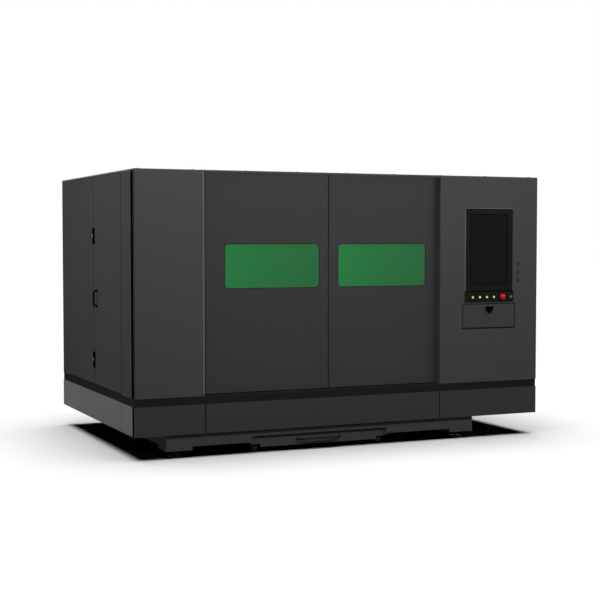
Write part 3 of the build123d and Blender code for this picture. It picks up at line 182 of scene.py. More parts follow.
class Shader(Nodes):
    """One material's node tree."""

    def __init__(self, name: str) -> None:
        """Makes an empty material.

        Args:
            name: The material's name.
        """
        self.material = bpy.data.materials.new(name)
        self.material.use_nodes = True
        super().__init__(self.material.node_tree)

    def place(self, stretch: Optional[Point] = None) -> Socket:
        """Gives the surface's own coordinates in metres.

        Args:
            stretch: How much to scale them along each axis, if at all.

        Returns:
            The coordinates.
        """
        coordinates = self.node("ShaderNodeTexCoord").outputs["Object"]
        if stretch is None:
            return coordinates
        return self.node("ShaderNodeMapping", inputs={"Vector": coordinates, "Scale": stretch}).outputs[0]

    def part(self, kind: str, source: Socket, index: int = 0) -> Value:
        """Takes one part out of a colour or a vector.

        Args:
            kind: The node that separates it.
            source: What is taken apart.
            index: The part's number.

        Returns:
            The part.
        """
        return Value(self, self.node(kind, inputs={0: source}).outputs[index])

    def noise(self, scale: float, detail: float, stretch: Optional[Point] = None) -> Value:
        """Adds soft random variation.

        Args:
            scale: Its features for each metre.
            detail: How many finer layers it has.
            stretch: The coordinates' scale along each axis, if any.

        Returns:
            A value around 0.5.
        """
        inputs = {"Vector": self.place(stretch), "Scale": scale, "Detail": detail}
        return Value(self, self.node("ShaderNodeTexNoise", inputs=inputs).outputs[0])

    def blend(self, factor: Value, low: Colour, high: Colour) -> Socket:
        """Mixes two colours.

        Args:
            factor: 0 gives the first and 1 the second.
            low: The first colour.
            high: The second colour.

        Returns:
            The mixed colour.
        """
        made = self.node("ShaderNodeMix", {"data_type": "RGBA"}, {0: factor.clamp(), 6: low, 7: high})
        return made.outputs[2]

    def bump(self, height: Value, depth: float, strength: float = 1.0) -> Socket:
        """Turns a height into a normal.

        Args:
            height: The height, from 0 to 1.
            depth: The height's size in metres.
            strength: How much of it shows.

        Returns:
            The normal.
        """
        inputs = {"Height": height, "Distance": depth, "Strength": strength}
        return self.node("ShaderNodeBump", inputs=inputs).outputs[0]

    def surface(self, kind: str = "ShaderNodeBsdfPrincipled", **inputs: object) -> Material:
        """Ends the tree in a surface shader.

        Args:
            kind: The shader's type.
            inputs: Its sockets, with underscores for blanks.

        Returns:
            The finished material.
        """
        named = {key.replace("_", " "): value for key, value in inputs.items()}
        shader = self.node(kind, inputs=named)
        self.node("ShaderNodeOutputMaterial", inputs={0: shader.outputs[0]})
        return self.material


@dataclass(frozen=True)
class PowderCoat:
    """Baked paint with a fine orange peel, faint cloudiness and handling marks."""

    name: str
    colour: str
    roughness: float = 0.5
    cloud: float = 0.06
    peel: float = 0.00006
    sheen: float = 0.2
    cloud_scale: float = 1.6
    grain_scale: float = 420.0
    streak_scale: float = 5.0
    streak_shape: Point = (6.0, 6.0, 0.5)
    speck_scale: float = 95.0
    speck_level: float = 0.745

    def build(self) -> Material:
        """Builds the paint.

        Returns:
            The material.
        """
        shader = Shader(self.name)
        cloud = shader.noise(self.cloud_scale, 4.0)
        grain = shader.noise(self.grain_scale, 2.0)
        streak = shader.noise(self.streak_scale, 3.0, self.streak_shape)
        speck = shader.noise(self.speck_scale, 1.0).above(self.speck_level)
        tone = cloud * 0.6 + streak * 0.25 + grain * 0.15
        colour = shader.blend(
            (tone - 0.3) * 2.5 + speck * 0.5,
            shade(self.colour, 1 - self.cloud), shade(self.colour, 1 + self.cloud),
        )
        gloss = self.roughness + (cloud - 0.5) * 0.14 + (grain - 0.5) * 0.1
        return shader.surface(
            Base_Color=colour, Roughness=gloss, Normal=shader.bump(grain, self.peel),
            Specular_IOR_Level=self.sheen,
        )


@dataclass(frozen=True)
class Metal:
    """Bare metal with brushed lines along one axis and a little tarnish."""

    name: str
    colour: str
    roughness: float = 0.34
    tarnish: float = 0.25
    lines: Point = (1.0, 1.0, 30.0)
    line_scale: float = 60.0
    line_depth: float = 0.00008
    patch_scale: float = 9.0

    def build(self) -> Material:
        """Builds the metal.

        Returns:
            The material.
        """
        shader = Shader(self.name)
        brushed = shader.noise(self.line_scale, 3.0, self.lines)
        patch = shader.noise(self.patch_scale, 4.0)
        colour = shader.blend((patch - 0.35) * 2.2, shade(self.colour, 1 - self.tarnish), shade(self.colour))
        gloss = self.roughness + (brushed - 0.5) * 0.25 + (patch - 0.5) * 0.15
        normal = shader.bump(brushed, self.line_depth, 0.6)
        return shader.surface(Base_Color=colour, Roughness=gloss, Metallic=0.92, Normal=normal)


@dataclass(frozen=True)
class Scorched:
    """Mild steel that the cutting has burnt and spattered."""

    name: str
    clean: str
    burnt: str
    burn_scale: float = 38.0
    spatter_scale: float = 260.0
    spatter_level: float = 0.63
    depth: float = 0.0006

    def build(self) -> Material:
        """Builds the burnt steel.

        Returns:
            The material.
        """
        shader = Shader(self.name)
        burn = shader.noise(self.burn_scale, 5.0)
        spatter = shader.noise(self.spatter_scale, 2.0).above(self.spatter_level)
        colour = shader.blend((burn - 0.3) * 1.5 + spatter * 0.3, shade(self.clean), shade(self.burnt))
        return shader.surface(
            Base_Color=colour, Roughness=burn * 0.35 + 0.42, Metallic=0.75,
            Normal=shader.bump(burn + spatter, self.depth, 0.5),
        )


@dataclass(frozen=True)
class Spangle:
    """Galvanised sheet with its zinc crystals."""

    name: str
    colour: str
    crystal_scale: float = 70.0

    def build(self) -> Material:
        """Builds the zinc coat.

        Returns:
            The material.
        """
        shader = Shader(self.name)
        inputs = {"Vector": shader.place(), "Scale": self.crystal_scale, "Randomness": 1.0}
        cells = shader.node("ShaderNodeTexVoronoi", {"feature": "F1"}, inputs)
        crystal = shader.part("ShaderNodeSeparateColor", cells.outputs["Color"])
        colour = shader.blend(crystal, shade(self.colour, 0.82), shade(self.colour))
        return shader.surface(Base_Color=colour, Roughness=crystal * 0.18 + 0.34, Metallic=0.85)


@dataclass(frozen=True)
class Plastic:
    """Moulded plastic or rubber with a fine grain."""

    name: str
    colour: str
    roughness: float = 0.5
    sheen: float = 0.25
    coat: float = 0.0
    grain: float = 0.00005
    grain_scale: float = 900.0
    wear_scale: float = 22.0

    def build(self) -> Material:
        """Builds the plastic.

        Returns:
            The material.
        """
        shader = Shader(self.name)
        fine = shader.noise(self.grain_scale, 2.0)
        wear = shader.noise(self.wear_scale, 4.0)
        return shader.surface(
            Base_Color=shader.blend(wear, shade(self.colour, 0.9), shade(self.colour, 1.12)),
            Roughness=self.roughness + (wear - 0.5) * 0.16, Normal=shader.bump(fine, self.grain),
            Coat_Weight=self.coat, Specular_IOR_Level=self.sheen,
        )


@dataclass(frozen=True)
class TintedPane:
    """A laser-safe pane: deep green, lighter towards its left end as a painted reflection, with a random
    haze.
    """

    name: str
    start: float
    width: float
    deep: str = "2c7341"
    # The colour at the left end: painted reflection.
    glare_colour: str = "288c49"
    haze_scale: float = 3.0

    def build(self) -> Material:
        """Builds the pane.

        Returns:
            The material.
        """
        shader = Shader(self.name)
        along = (shader.part("ShaderNodeSeparateXYZ", shader.place()) - self.start) / self.width
        haze = shader.noise(self.haze_scale, 3.0)
        # Lighter towards the left end: painted reflection, with the random haze on top.
        glare_and_haze = (1 - along).clamp() ** 1.6 * 0.8 + (haze - 0.5) * 0.35
        colour = shader.blend(glare_and_haze, shade(self.deep), shade(self.glare_colour))
        return shader.surface(Base_Color=colour, Roughness=haze * 0.08 + 0.2, Specular_IOR_Level=0.12)


@dataclass(frozen=True)
class Lit:
    """A lens that glows from inside."""

    name: str
    colour: str
    glow: str
    strength: float
    speckle_scale: float = 700.0

    def build(self) -> Material:
        """Builds the lens.

        Returns:
            The material.
        """
        shader = Shader(self.name)
        speckle = shader.noise(self.speckle_scale, 2.0)
        colour = shader.blend(speckle, shade(self.colour, 0.85), shade(self.colour))
        return shader.surface(
            Base_Color=colour, Roughness=0.3, Emission_Color=shade(self.glow), Emission_Strength=self.strength
        )


@dataclass(frozen=True)
class Display:
    """A dark panel behind glass, with faint smears."""

    name: str
    colour: str
    smear_scale: float = 7.0
    smear_shape: Point = (1.0, 1.0, 0.6)

    def build(self) -> Material:
        """Builds the display.

        Returns:
            The material.
        """
        shader = Shader(self.name)
        smear = shader.noise(self.smear_scale, 5.0, self.smear_shape)
        colour = shader.blend(smear, shade(self.colour, 0.85), shade(self.colour, 1.2))
        return shader.surface(Base_Color=colour, Roughness=smear * 0.16 + 0.16, Specular_IOR_Level=0.05)


Finish = Union[PowderCoat, Metal, Scorched, Spangle, Plastic, TintedPane, Lit, Display]

FRONT_PAINT = PowderCoat("front_paint", "434343", sheen=0.1)
CONSOLE_PAINT = PowderCoat("console_paint", "424242", sheen=0.1)
# A darker copy of the console paint for the flap: painted shade below the button strip.
PAINTED_SHADE_FLAP = PowderCoat("painted_shade_flap", "3d3d3d", sheen=0.1, cloud=0.1)
REAR_PAINT = PowderCoat("rear_paint", "414141", sheen=0.06)
DOOR_PAINT = PowderCoat("door_paint", "393939", sheen=0.1)
SIDE_PAINT = PowderCoat("side_paint", "414141", sheen=0.0)
SKIRT_PAINT = PowderCoat("skirt_paint", "363637", sheen=0.1)
# A lighter copy of the skirt paint for the side skirts: painted light from the floor's bounce.
PAINTED_LIGHT_SIDE_SKIRT = PowderCoat("painted_light_side_skirt", "4c4c4c", sheen=0.05)
SILL_PAINT = PowderCoat("sill_paint", "262626", roughness=0.6, sheen=0.0)
# Near black without sheen on the front corner posts: painted shade of the corner's shadow gap.
PAINTED_SHADE_POST = PowderCoat("painted_shade_post", "020202", roughness=0.7, sheen=0.0)
BASE_PAINT = PowderCoat("base_paint", "4c4c4c", sheen=0.02)
FRAME_PAINT = PowderCoat("frame_paint", "55585b")
BED_PAINT = PowderCoat("bed_paint", "a3a7ab", roughness=0.4, peel=0.0001)
# Pale paints for the thin bars on the screen recess and the left jamb: painted highlights.
PAINTED_RIM_HIGHLIGHT = PowderCoat("painted_rim_highlight", "707070", cloud=0.12, sheen=0.1)
PAINTED_RIM_DIM_HIGHLIGHT = PowderCoat("painted_rim_dim_highlight", "606060", cloud=0.1, sheen=0.1)
# A darker paint for the thin bar on the console's jamb: painted shade.
JAMB_PAINTED_SHADE = PowderCoat("jamb_painted_shade", "3a3a3a", cloud=0.1)
STEEL = Metal("ground_steel", "b4b7ba")
ALLOY = Metal("anodised_alloy", "c6c9cc", 0.4, tarnish=0.1)
BLACK_OXIDE = Metal("black_oxide", "101112", 0.5, tarnish=0.3)
DARK_STEEL = Metal("dark_steel", "2a2b2c", 0.45, tarnish=0.3)
SATIN_STEEL = Metal("satin_steel", "5a5c5e", 0.4, tarnish=0.3)
BRASS = Metal("brass", "b08d4a", 0.3)
COPPER = Metal("copper", "c98a5a", 0.25)
ZINC = Spangle("zinc_sheet", "b4b9bc")
SLAT_STEEL = Scorched("slat_steel", "8e8680", "2c2723")
BLACK_PLASTIC = Plastic("black_plastic", "0b0b0b", 0.42, 0.12)
BEZEL_PLASTIC = Plastic("bezel_plastic", "101011", 0.4, 0.06)
PLATE_PLASTIC = Plastic("plate_plastic", "0e0e11", 0.5, 0.06)
DOT_PLASTIC = Plastic("dot_plastic", "1b1b1c", 0.3, 0.15)
RUBBER = Plastic("rubber", "161616", 0.75, grain=0.0002)
GREEN_PLASTIC = Plastic("green_plastic", "16581c", 0.35, 0.1)
TERMINAL_PLASTIC = Plastic("terminal_plastic", "2f8f45", 0.45)
RED_PLASTIC = Plastic("red_plastic", "d8141c", 0.36, 0.1, coat=0.05)
SLATE_PLASTIC = Plastic("slate_plastic", "1c2426", 0.4, 0.1)
TEAL_PLASTIC = Plastic("teal_plastic", "4d8583", 0.4, 0.1)
# Jet black plastic for the knob, handle and latches, also used for black strips of painted shadow and painted
# shade.
JET_BLACK_AND_PAINTED_SHADE = Plastic("jet_black_and_painted_shade", "040404", 0.6, 0.0)
GASKET = Plastic("gasket", "0a0a0a", 0.7, 0.03, grain=0.0002)
SMOKED_LENS = Plastic("smoked_lens", "2b2b2c", 0.25, 0.2)
PANE_BORDER = Plastic("pane_border", "3c6a48", 0.35, 0.1)
CERAMIC = Plastic("ceramic", "e8e4da", 0.3)
GREEN_LENS = Lit("green_lens", "8fc63c", "b4e45c", 0.55)
STATUS_LENS = Lit("status_lens", "3ad06a", "3ad06a", 0.8)
SCREEN = Display("screen", "0f0f10")

NODES_OF_FINISH: dict[Finish, str] = {
    FRONT_PAINT: "front_panel_left roof_panel",
    CONSOLE_PAINT: "console_panel",
    PAINTED_SHADE_FLAP: "keyboard_flap",
    DOOR_PAINT: "front_door_left front_door_right",
    SIDE_PAINT: "side_panel_front side_panel_rear side_door_front side_door_rear",
    REAR_PAINT: "right_side_panels rear_panels",
    SKIRT_PAINT: "front_skirt_left front_skirt_centre front_skirt_right rear_skirt",
    PAINTED_LIGHT_SIDE_SKIRT: "side_skirt_left side_skirt_right",
    SILL_PAINT: "sill_ring",
    PAINTED_SHADE_POST: "front_corner_posts",
    BASE_PAINT: "base_frame scrap_drawer",
    FRAME_PAINT: "enclosure_frame partitions",
    BED_PAINT: "machine_bed",
    BLACK_OXIDE: "levelling_feet door_rail",
    STEEL: "guide_rails side_door_pivots",
    ALLOY: "gantry_beam head_carriage cutting_head",
    SLAT_STEEL: "table_frame table_slats",
    ZINC: "scrap_chute exhaust_collar laser_source drive_rack",
    BEZEL_PLASTIC: "screen_housing",
    SCREEN: "screen_glass",
    PLATE_PLASTIC: "button_plate",
    DOT_PLASTIC: "indicator_lamps",
    BLACK_PLASTIC: "keyboard drawer_handle",
    JET_BLACK_AND_PAINTED_SHADE: "flap_knob side_door_handle latch_upper latch_lower",
    GREEN_PLASTIC: "push_button_1 push_button_2 push_button_3 push_button_4",
    RED_PLASTIC: "estop_button",
    SLATE_PLASTIC: "selector_switch",
    RUBBER: "drawer_wheel_1 drawer_wheel_2 drawer_wheel_3 drawer_wheel_4",
}


@dataclass(frozen=True)
class Box:
    """The box round a CAD node at rest."""

    low: Point
    high: Point

    @classmethod
    def of(cls, node: str) -> "Box":
        """Reads a node's box from the frame."""
        return cls(*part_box(node))

    @property
    def centre(self) -> Vector:
        """The box's middle."""
        return (Vector(self.low) + Vector(self.high)) / 2

    @property
    def size(self) -> Vector:
        """The box's width, depth and height."""
        return Vector(self.high) - Vector(self.low)

    @property
    def front(self) -> Point:
        """The middle of the box's front face."""
        return (self.centre.x, self.low[1], self.centre.z)

    def corners(self, inset: float) -> list[Size]:
        """The X and Z of four places near the front face's corners."""
        xs = (self.low[0] + inset, self.high[0] - inset)
        return [(x, z) for x in xs for z in (self.low[2] + inset, self.high[2] - inset)]


def spread(low: float, high: float, count: int) -> list[float]:
    """Places evenly spaced from one end to the other."""
    return [low + (high - low) * i / (count - 1) for i in range(count)]


def circle(radius: float, count: int, offset: float = 0.0) -> list[Size]:
    """Evenly spaced points round a circle, the first one turned by a part of a step."""
    turns = [math.tau * (i + offset) / count for i in range(count)]
    return [(radius * math.cos(turn), radius * math.sin(turn)) for turn in turns]


def joined(meshes: Iterable[Mesh]) -> Mesh:
    """Joins several shapes into one mesh.

    Args:
        meshes: The shapes, which are used up.

    Returns:
        All of them in one mesh.
    """
    whole = bmesh.new()
    for mesh in meshes:
        data = bpy.data.meshes.new("part")
        mesh.to_mesh(data)
        mesh.free()
        whole.from_mesh(data)
        bpy.data.meshes.remove(data)
    return whole


def placed(name: str, mesh: Mesh) -> Thing:
    """Puts a finished shape into the scene.

    Args:
        name: The new object's name.
        mesh: The shape, which is used up.

    Returns:
        The new object.
    """
    data = bpy.data.meshes.new(name)
    mesh.to_mesh(data)
    mesh.free()
    made = bpy.data.objects.new(name, data)
    bpy.context.scene.collection.objects.link(made)
    return made


@dataclass(frozen=True)
class Seat:
    """A place on a face and the way that the face looks, where a shape stands."""

    place: Point
    axis: Axis

    def stand(self, mesh: Mesh) -> Mesh:
        """Moves a shape from the origin, where it faces up, to its seat.

        Args:
            mesh: The shape.

        Returns:
            The same shape, in place.
        """
        matrix = Matrix.Translation(self.place) @ self.axis.value
        bmesh.ops.transform(mesh, matrix=matrix, verts=mesh.verts)
        return mesh

    @staticmethod
    def _sheet(size: Size, corner: float, steps: int) -> Mesh:
        """Makes a flat rectangle with rounded corners.

        Args:
            size: Its width and height.
            corner: The radius of its four corners.
            steps: The steps of each corner.

        Returns:
            The sheet, at the origin.
        """
        mesh = bmesh.new()
        matrix = Matrix.Diagonal((*size, 1.0, 1.0))
        bmesh.ops.create_grid(mesh, x_segments=1, y_segments=1, size=0.5, matrix=matrix)
        bmesh.ops.bevel(
            mesh, geom=mesh.verts[:], offset=corner, segments=steps, profile=0.5, affect="VERTICES",
            material=-1,
        )
        return mesh

    @staticmethod
    def _thicken(mesh: Mesh, thickness: float) -> None:
        """Gives a flat sheet its thickness.

        Args:
            mesh: The sheet.
            thickness: How thick it becomes.
        """
        top = bmesh.ops.extrude_face_region(mesh, geom=mesh.faces[:])["geom"]
        raised = [v for v in top if isinstance(v, bmesh.types.BMVert)]
        bmesh.ops.translate(mesh, verts=raised, vec=(0, 0, thickness))
        bmesh.ops.recalc_face_normals(mesh, faces=mesh.faces)

    @staticmethod
    def _round_over(mesh: Mesh, level: float, radius: float, steps: int) -> None:
        """Rounds the edges that lie above a level.

        Args:
            mesh: The shape.
            level: The level.
            radius: The rounding's radius.
            steps: The rounding's steps.
        """
        edges = [e for e in mesh.edges if all(v.co.z > level for v in e.verts)]
        bmesh.ops.bevel(
            mesh, geom=edges, offset=radius, segments=steps, profile=0.5, affect="EDGES", material=-1
        )

    def _spin(self, mesh: Mesh, steps: int) -> Mesh:
        """Spins all of a section round the vertical and stands the result.

        Args:
            mesh: The section.
            steps: The steps round.

        Returns:
            The shape, in place.
        """
        bmesh.ops.spin(
            mesh, geom=mesh.verts[:] + mesh.edges[:], cent=(0, 0, 0), axis=(0, 0, 1), angle=math.tau,
            steps=steps, use_merge=True,
        )
        bmesh.ops.remove_doubles(mesh, verts=mesh.verts, dist=1e-6)
        bmesh.ops.recalc_face_normals(mesh, faces=mesh.faces)
        return self.stand(mesh)

    def disc(self, radius: float, thickness: float, round_over: float, sides: int) -> Mesh:
        """Makes a round piece with its front edge rounded.

        Args:
            radius: Its radius.
            thickness: How far it stands out.
            round_over: The radius of its front edge.
            sides: Its sides.

        Returns:
            The shape, in place.
        """
        mesh = bmesh.new()
        bmesh.ops.create_cone(
            mesh, cap_ends=True, segments=sides, radius1=radius, radius2=radius, depth=thickness,
            matrix=Matrix.Translation((0, 0, thickness / 2)),
        )
        self._round_over(mesh, thickness / 2, round_over, 3)
        return self.stand(mesh)

    def plate(self, size: Size, thickness: float, corner: float, round_over: float) -> Mesh:
        """Makes a flat rectangular piece with rounded corners.

        Args:
            size: Its width and height.
            thickness: How far it stands out.
            corner: The radius of its four corners.
            round_over: The radius of its front edge, or 0 for a sharp one.

        Returns:
            The shape, in place.
        """
        mesh = self._sheet(size, corner, 6)
        self._thicken(mesh, thickness)
        if round_over:
            self._round_over(mesh, thickness / 2, round_over, 2)
        return self.stand(mesh)

    def rim(self, size: Size, band: float, thickness: float, corner: float) -> Mesh:
        """Makes a flat frame with rounded corners, such as a gasket.

        Args:
            size: Its outer width and height.
            band: The width of the frame itself.
            thickness: How far it stands out.
            corner: The radius of its outer corners.

        Returns:
            The shape, in place.
        """
        mesh = self._sheet(size, corner, 8)
        inner = mesh.faces[:]
        bmesh.ops.inset_region(mesh, faces=inner, thickness=band, use_boundary=True, use_even_offset=True)
        bmesh.ops.delete(mesh, geom=inner, context="FACES_ONLY")
        self._thicken(mesh, thickness)
        return self.stand(mesh)

    def ring(self, radius: float, band: float, height: float, steps: int = 36) -> Mesh:
        """Turns a round section into a ring.

        Args:
            radius: The radius of the ring's middle line.
            band: The width of its section.
            height: The height of its section.
            steps: Its steps round.

        Returns:
            The shape, in place.
        """
        mesh = bmesh.new()
        matrix = Matrix.Translation((radius, 0, height / 2)) @ Matrix.Diagonal((band, 1.0, height, 1.0))
        matrix = matrix @ Matrix.Rotation(math.radians(90), 4, "X")
        bmesh.ops.create_circle(mesh, segments=10, radius=0.5, matrix=matrix)
        return self._spin(mesh, steps)

    def turned(self, outline: Sequence[Size], steps: int = 28) -> Mesh:
        """Turns an outline into a round piece.

        Args:
            outline: Its radius and height at each point, closed by itself.
            steps: Its steps round.

        Returns:
            The shape, in place.
        """
        mesh = bmesh.new()
        points = [mesh.verts.new((radius, 0.0, height)) for radius, height in outline]
        for i in range(len(points)):
            mesh.edges.new((points[i - 1], points[i]))
        return self._spin(mesh, steps)


@dataclass
class Workshop:
    """Makes each finish once and gives it to pieces."""

    made: dict[str, Material] = field(default_factory=dict)

    def dress(self, piece: Thing, finish: Finish) -> None:
        """Gives a piece its finish, built on first use.

        Args:
            piece: A new piece or a CAD node.
            finish: Its finish.
        """
        if finish.name not in self.made:
            self.made[finish.name] = finish.build()
        piece.data.materials.clear()
        piece.data.materials.append(self.made[finish.name])

    def dress_nodes(self) -> None:
        """Gives every CAD node its finish."""
        finishes = {node: finish for finish, nodes in NODES_OF_FINISH.items() for node in nodes.split()}
        for side in ("left", "right"):
            pane = Box.of(f"window_{side}")
            finishes[f"window_{side}"] = TintedPane(f"safety_glass_{side}", pane.low[0], pane.size.x)
        for name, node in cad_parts.items():
            self.dress(node, finishes[name])


@dataclass(frozen=True)
class Screw:
    """A domed screw with a socket, or a bolt where its head has six sides."""

    radius: float
    lift: float
    sides: int = 14
    finish: Finish = DARK_STEEL
    taper: float = 0.82
    socket_edge: float = 0.34
    socket_depth: float = 0.55

    def head(self, seat: Seat) -> Mesh:
        """Makes the screw's head.

        Args:
            seat: Where it stands.

        Returns:
            The shape, in place.
        """
        mesh = bmesh.new()
        bmesh.ops.create_cone(
            mesh, cap_ends=True, segments=self.sides, radius1=self.radius, radius2=self.radius * self.taper,
            depth=self.lift, matrix=Matrix.Translation((0, 0, self.lift / 2)),
        )
        top = max(mesh.faces, key=lambda face: face.calc_center_median().z)
        edge = self.radius * self.socket_edge
        bmesh.ops.inset_region(mesh, faces=[top], thickness=edge, use_even_offset=True)
        bmesh.ops.translate(mesh, verts=top.verts[:], vec=(0, 0, -self.lift * self.socket_depth))
        return seat.stand(mesh)


@dataclass
class Trim:
    """A group of small pieces that a workshop dresses."""

    shop: Workshop

    def piece(self, name: str, slot: str, mesh: Mesh, finish: Finish, body: str = "frame") -> Thing:
        """Turns a finished bmesh into a piece that rides on a body.

        Args:
            name: The piece's name.
            slot: The record's slot that its finish stands for; not used.
            mesh: The shape, in place, in metres.
            finish: Its finish.
            body: The body that it moves with.

        Returns:
            The new piece.
        """
        made = placed(name, mesh)
        self.shop.dress(made, finish)
        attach(made, body)
        log.info("%s rides on %s with %d faces", name, body, len(made.data.polygons))
        return made

    def bar(
        self, name: str, slot: str, low: Point, high: Point, finish: Finish, body: str = "frame"
    ) -> Thing:
        """Builds a thin strip with eased edges between two corners.

        Args:
            name: The piece's name.
            slot: The record's slot.
            low: Its lowest corner.
            high: Its highest corner.
            finish: Its finish.
            body: The body that it rides on.

        Returns:
            The strip.
        """
        box = Box(low, high)
        mesh = bmesh.new()
        matrix = Matrix.Translation(box.centre) @ Matrix.Diagonal((*box.size, 1.0))
        bmesh.ops.create_cube(mesh, size=1.0, matrix=matrix)
        bmesh.ops.bevel(
            mesh, geom=mesh.edges[:], offset=min(box.size) * 0.3, segments=2, profile=0.5, affect="EDGES",
            material=-1,
        )
        return self.piece(name, slot, mesh, finish, body)

    def screws(
        self, name: str, places: Iterable[Point], axis: Axis, screw: Screw, body: str = "frame"
    ) -> None:
        """Builds a set of screws as one piece.

        Args:
            name: The piece's name.
            places: The centres of their feet.
            axis: The way that they face.
            screw: Their kind.
            body: The body that they ride on.
        """
        mesh = joined(screw.head(Seat(place, axis)) for place in places)
        self.piece(name, "steel", mesh, screw.finish, body)


@dataclass
class DoorTrim(Trim):
    """The borders and gaskets of the two sliding doors' windows."""

    band: float = 0.009
    lift: float = 0.0014
    lap: float = 0.016
    corner: float = 0.028
    gasket_band: float = 0.003

    def build(self) -> None:
        """Builds the dull border of each pane and the black gasket round it."""
        for side in ("left", "right"):
            pane = Box.of(f"window_{side}")
            size = (pane.size.x - 2 * self.lap, pane.size.z - 2 * self.lap)
            seat = Seat(pane.front, Axis.FRONT)
            border = seat.rim(size, self.band, self.lift / 2, self.corner)
            self.piece(f"window_border_{side}", "safety_glass", border, PANE_BORDER, f"{side}_door")
            gasket = seat.rim(size, self.gasket_band, self.lift, self.corner)
            self.piece(f"window_gasket_{side}", "black_plastic", gasket, GASKET, f"{side}_door")


@dataclass
class ConsoleTrim(Trim):
    """The lenses, rings and marks of the console's controls, with painted highlights and painted shadows
    round the screen.
    """

    buttons: int = 4
    lens: Round = (0.0076, 0.0012, 0.00072, 32)
    button_ring: Round = (0.0138, 0.0036, 0.0022, 36)
    stop_ring: Round = (0.0228, 0.0042, 0.003, 40)
    selector_ring: Round = (0.0168, 0.0036, 0.0024, 36)
    stop_dome: tuple[Size, ...] = (
        (0.0, 0.0), (0.0165, 0.0), (0.0162, 0.0012), (0.0135, 0.0032), (0.008, 0.0044), (0.0, 0.0048)
    )
    selector_lean: float = 28.0
    grip: Plate = ((0.0072, 0.0225), 0.0012, 0.0016, 0.0005)
    mark: Plate = ((0.0016, 0.009), 0.0004, 0.0004, 0.0)
    mark_rise: float = 0.0055
    lamp_levels: tuple[float, ...] = (1.084, 1.139, 1.196)
    bezel: tuple[float, float, int] = (0.0025, 0.0022, 28)
    lamp_lens: tuple[float, float, int] = (0.0012, 0.0008, 20)
    lens_share: float = 0.55
    # Sizes of the painted highlights on the screen recess, of the black bar of painted shadow under the
    # screen and of the black line of painted shadow round the display.
    rim_width: float = 0.0038
    rim_left_width: float = 0.0075
    rim_lift: float = 0.0008
    strip_depth: float = 0.001
    shadow_bar_lift: float = 0.0012
    shadow_bar_drop: float = 0.009
    shadow_bar_gap: float = 0.0005
    display_line: float = 0.007
    display_lift: float = 0.0002
    line_corner: float = 0.003
    end_mark: Plate = ((0.003, 0.016), 0.0006, 0.0012, 0.0)
    end_mark_inset: float = 0.006
    screw_inset: float = 0.007
    seam_width: float = 0.004
    seam_gap: float = 0.0016
    seam_lift: float = 0.0006
    plate_screw: Screw = Screw(0.0026, 0.001, 12)
    knob_screw: Screw = Screw(0.0042, 0.0014)

    def build(self) -> None:
        """Builds every control's details."""
        for index in range(1, self.buttons + 1):
            self.button(index)
        self.stop()
        self.selector()
        self.lamps()
        self.screen()
        self.strip()
        self.flap()

    def base_ring(self, name: str, node: str, sizes: Round) -> None:
        """Builds the black ring round a control's foot on the button plate.

        Args:
            name: The ring's name.
            node: The control.
            sizes: The ring's radius, band, height and steps.
        """
        centre = Box.of(node).centre
        foot = (centre.x, Box.of("button_plate").low[1], centre.z)
        self.piece(name, "black_plastic", Seat(foot, Axis.FRONT).ring(*sizes), BLACK_PLASTIC)

    def button(self, index: int) -> None:
        """Builds the lit lens and the collar of one push button.

        Args:
            index: The button's number.
        """
        node = f"push_button_{index}"
        lens = Seat(Box.of(node).front, Axis.FRONT).disc(*self.lens)
        self.piece(f"button_lens_{index}", "green_plastic", lens, GREEN_LENS, f"button_{index}")
        self.base_ring(f"button_ring_{index}", node, self.button_ring)

    def stop(self) -> None:
        """Builds the emergency stop's domed cap and its base ring."""
        cap = Seat(Box.of("estop_button").front, Axis.FRONT).turned(self.stop_dome, 36)
        self.piece("estop_cap", "red_plastic", cap, RED_PLASTIC, "estop")
        self.base_ring("estop_base_ring", "estop_button", self.stop_ring)

    def selector(self) -> None:
        """Builds the selector's grip cover with its pale line, and its base ring."""
        face = Vector(Box.of("selector_switch").front)
        lean = Matrix.Translation(face) @ Matrix.Rotation(math.radians(self.selector_lean), 4, "Y")
        lift = self.grip[1]
        grip = Seat((0, 0, 0), Axis.FRONT).plate(*self.grip)
        mark = Seat((0, -lift, self.mark_rise), Axis.FRONT).plate(*self.mark)
        for name, mesh, finish in (("selector_grip", grip, TEAL_PLASTIC), ("selector_mark", mark, CERAMIC)):
            bmesh.ops.transform(mesh, matrix=lean, verts=mesh.verts)
            self.piece(name, "slate_plastic", mesh, finish, "selector")
        self.base_ring("selector_base_ring", "selector_switch", self.selector_ring)

    def lamps(self) -> None:
        """Builds the bezels and lenses of the three lamps."""
        lamps = Box.of("indicator_lamps")
        radius = lamps.size.x / 2
        face = Box.of("console_panel").low[1]
        bezels, lenses = [], []
        for level in self.lamp_levels:
            foot = Seat((lamps.centre.x, face, level), Axis.FRONT)
            bezels.append(foot.ring(radius, *self.bezel))
            top = Seat((lamps.centre.x, lamps.low[1], level), Axis.FRONT)
            lenses.append(top.disc(radius * self.lens_share, *self.lamp_lens))
        self.piece("lamp_bezels", "grey_plastic", joined(bezels), BLACK_PLASTIC)
        self.piece("lamp_lenses", "grey_plastic", joined(lenses), SMOKED_LENS)

    def screen(self) -> None:
        """Builds the painted highlights along the top and left of the screen's recess, a black bar of painted
        shadow under the screen and a black line of painted shadow round the display.
        """
        low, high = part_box("screen_housing")
        face = Box.of("console_panel").low[1]
        back = face + self.strip_depth
        width, front = self.rim_width, face - self.rim_lift
        # Pale bars along the top and left of the recess: painted highlight.
        self.bar("screen_highlight_top", "charcoal_paint", (low[0] - width, front, high[2]),
                 (high[0], back, high[2] + width), PAINTED_RIM_HIGHLIGHT)
        self.bar("screen_highlight_left", "charcoal_paint", (low[0] - self.rim_left_width, front, low[2]),
                 (low[0], back, high[2]), PAINTED_RIM_DIM_HIGHLIGHT)
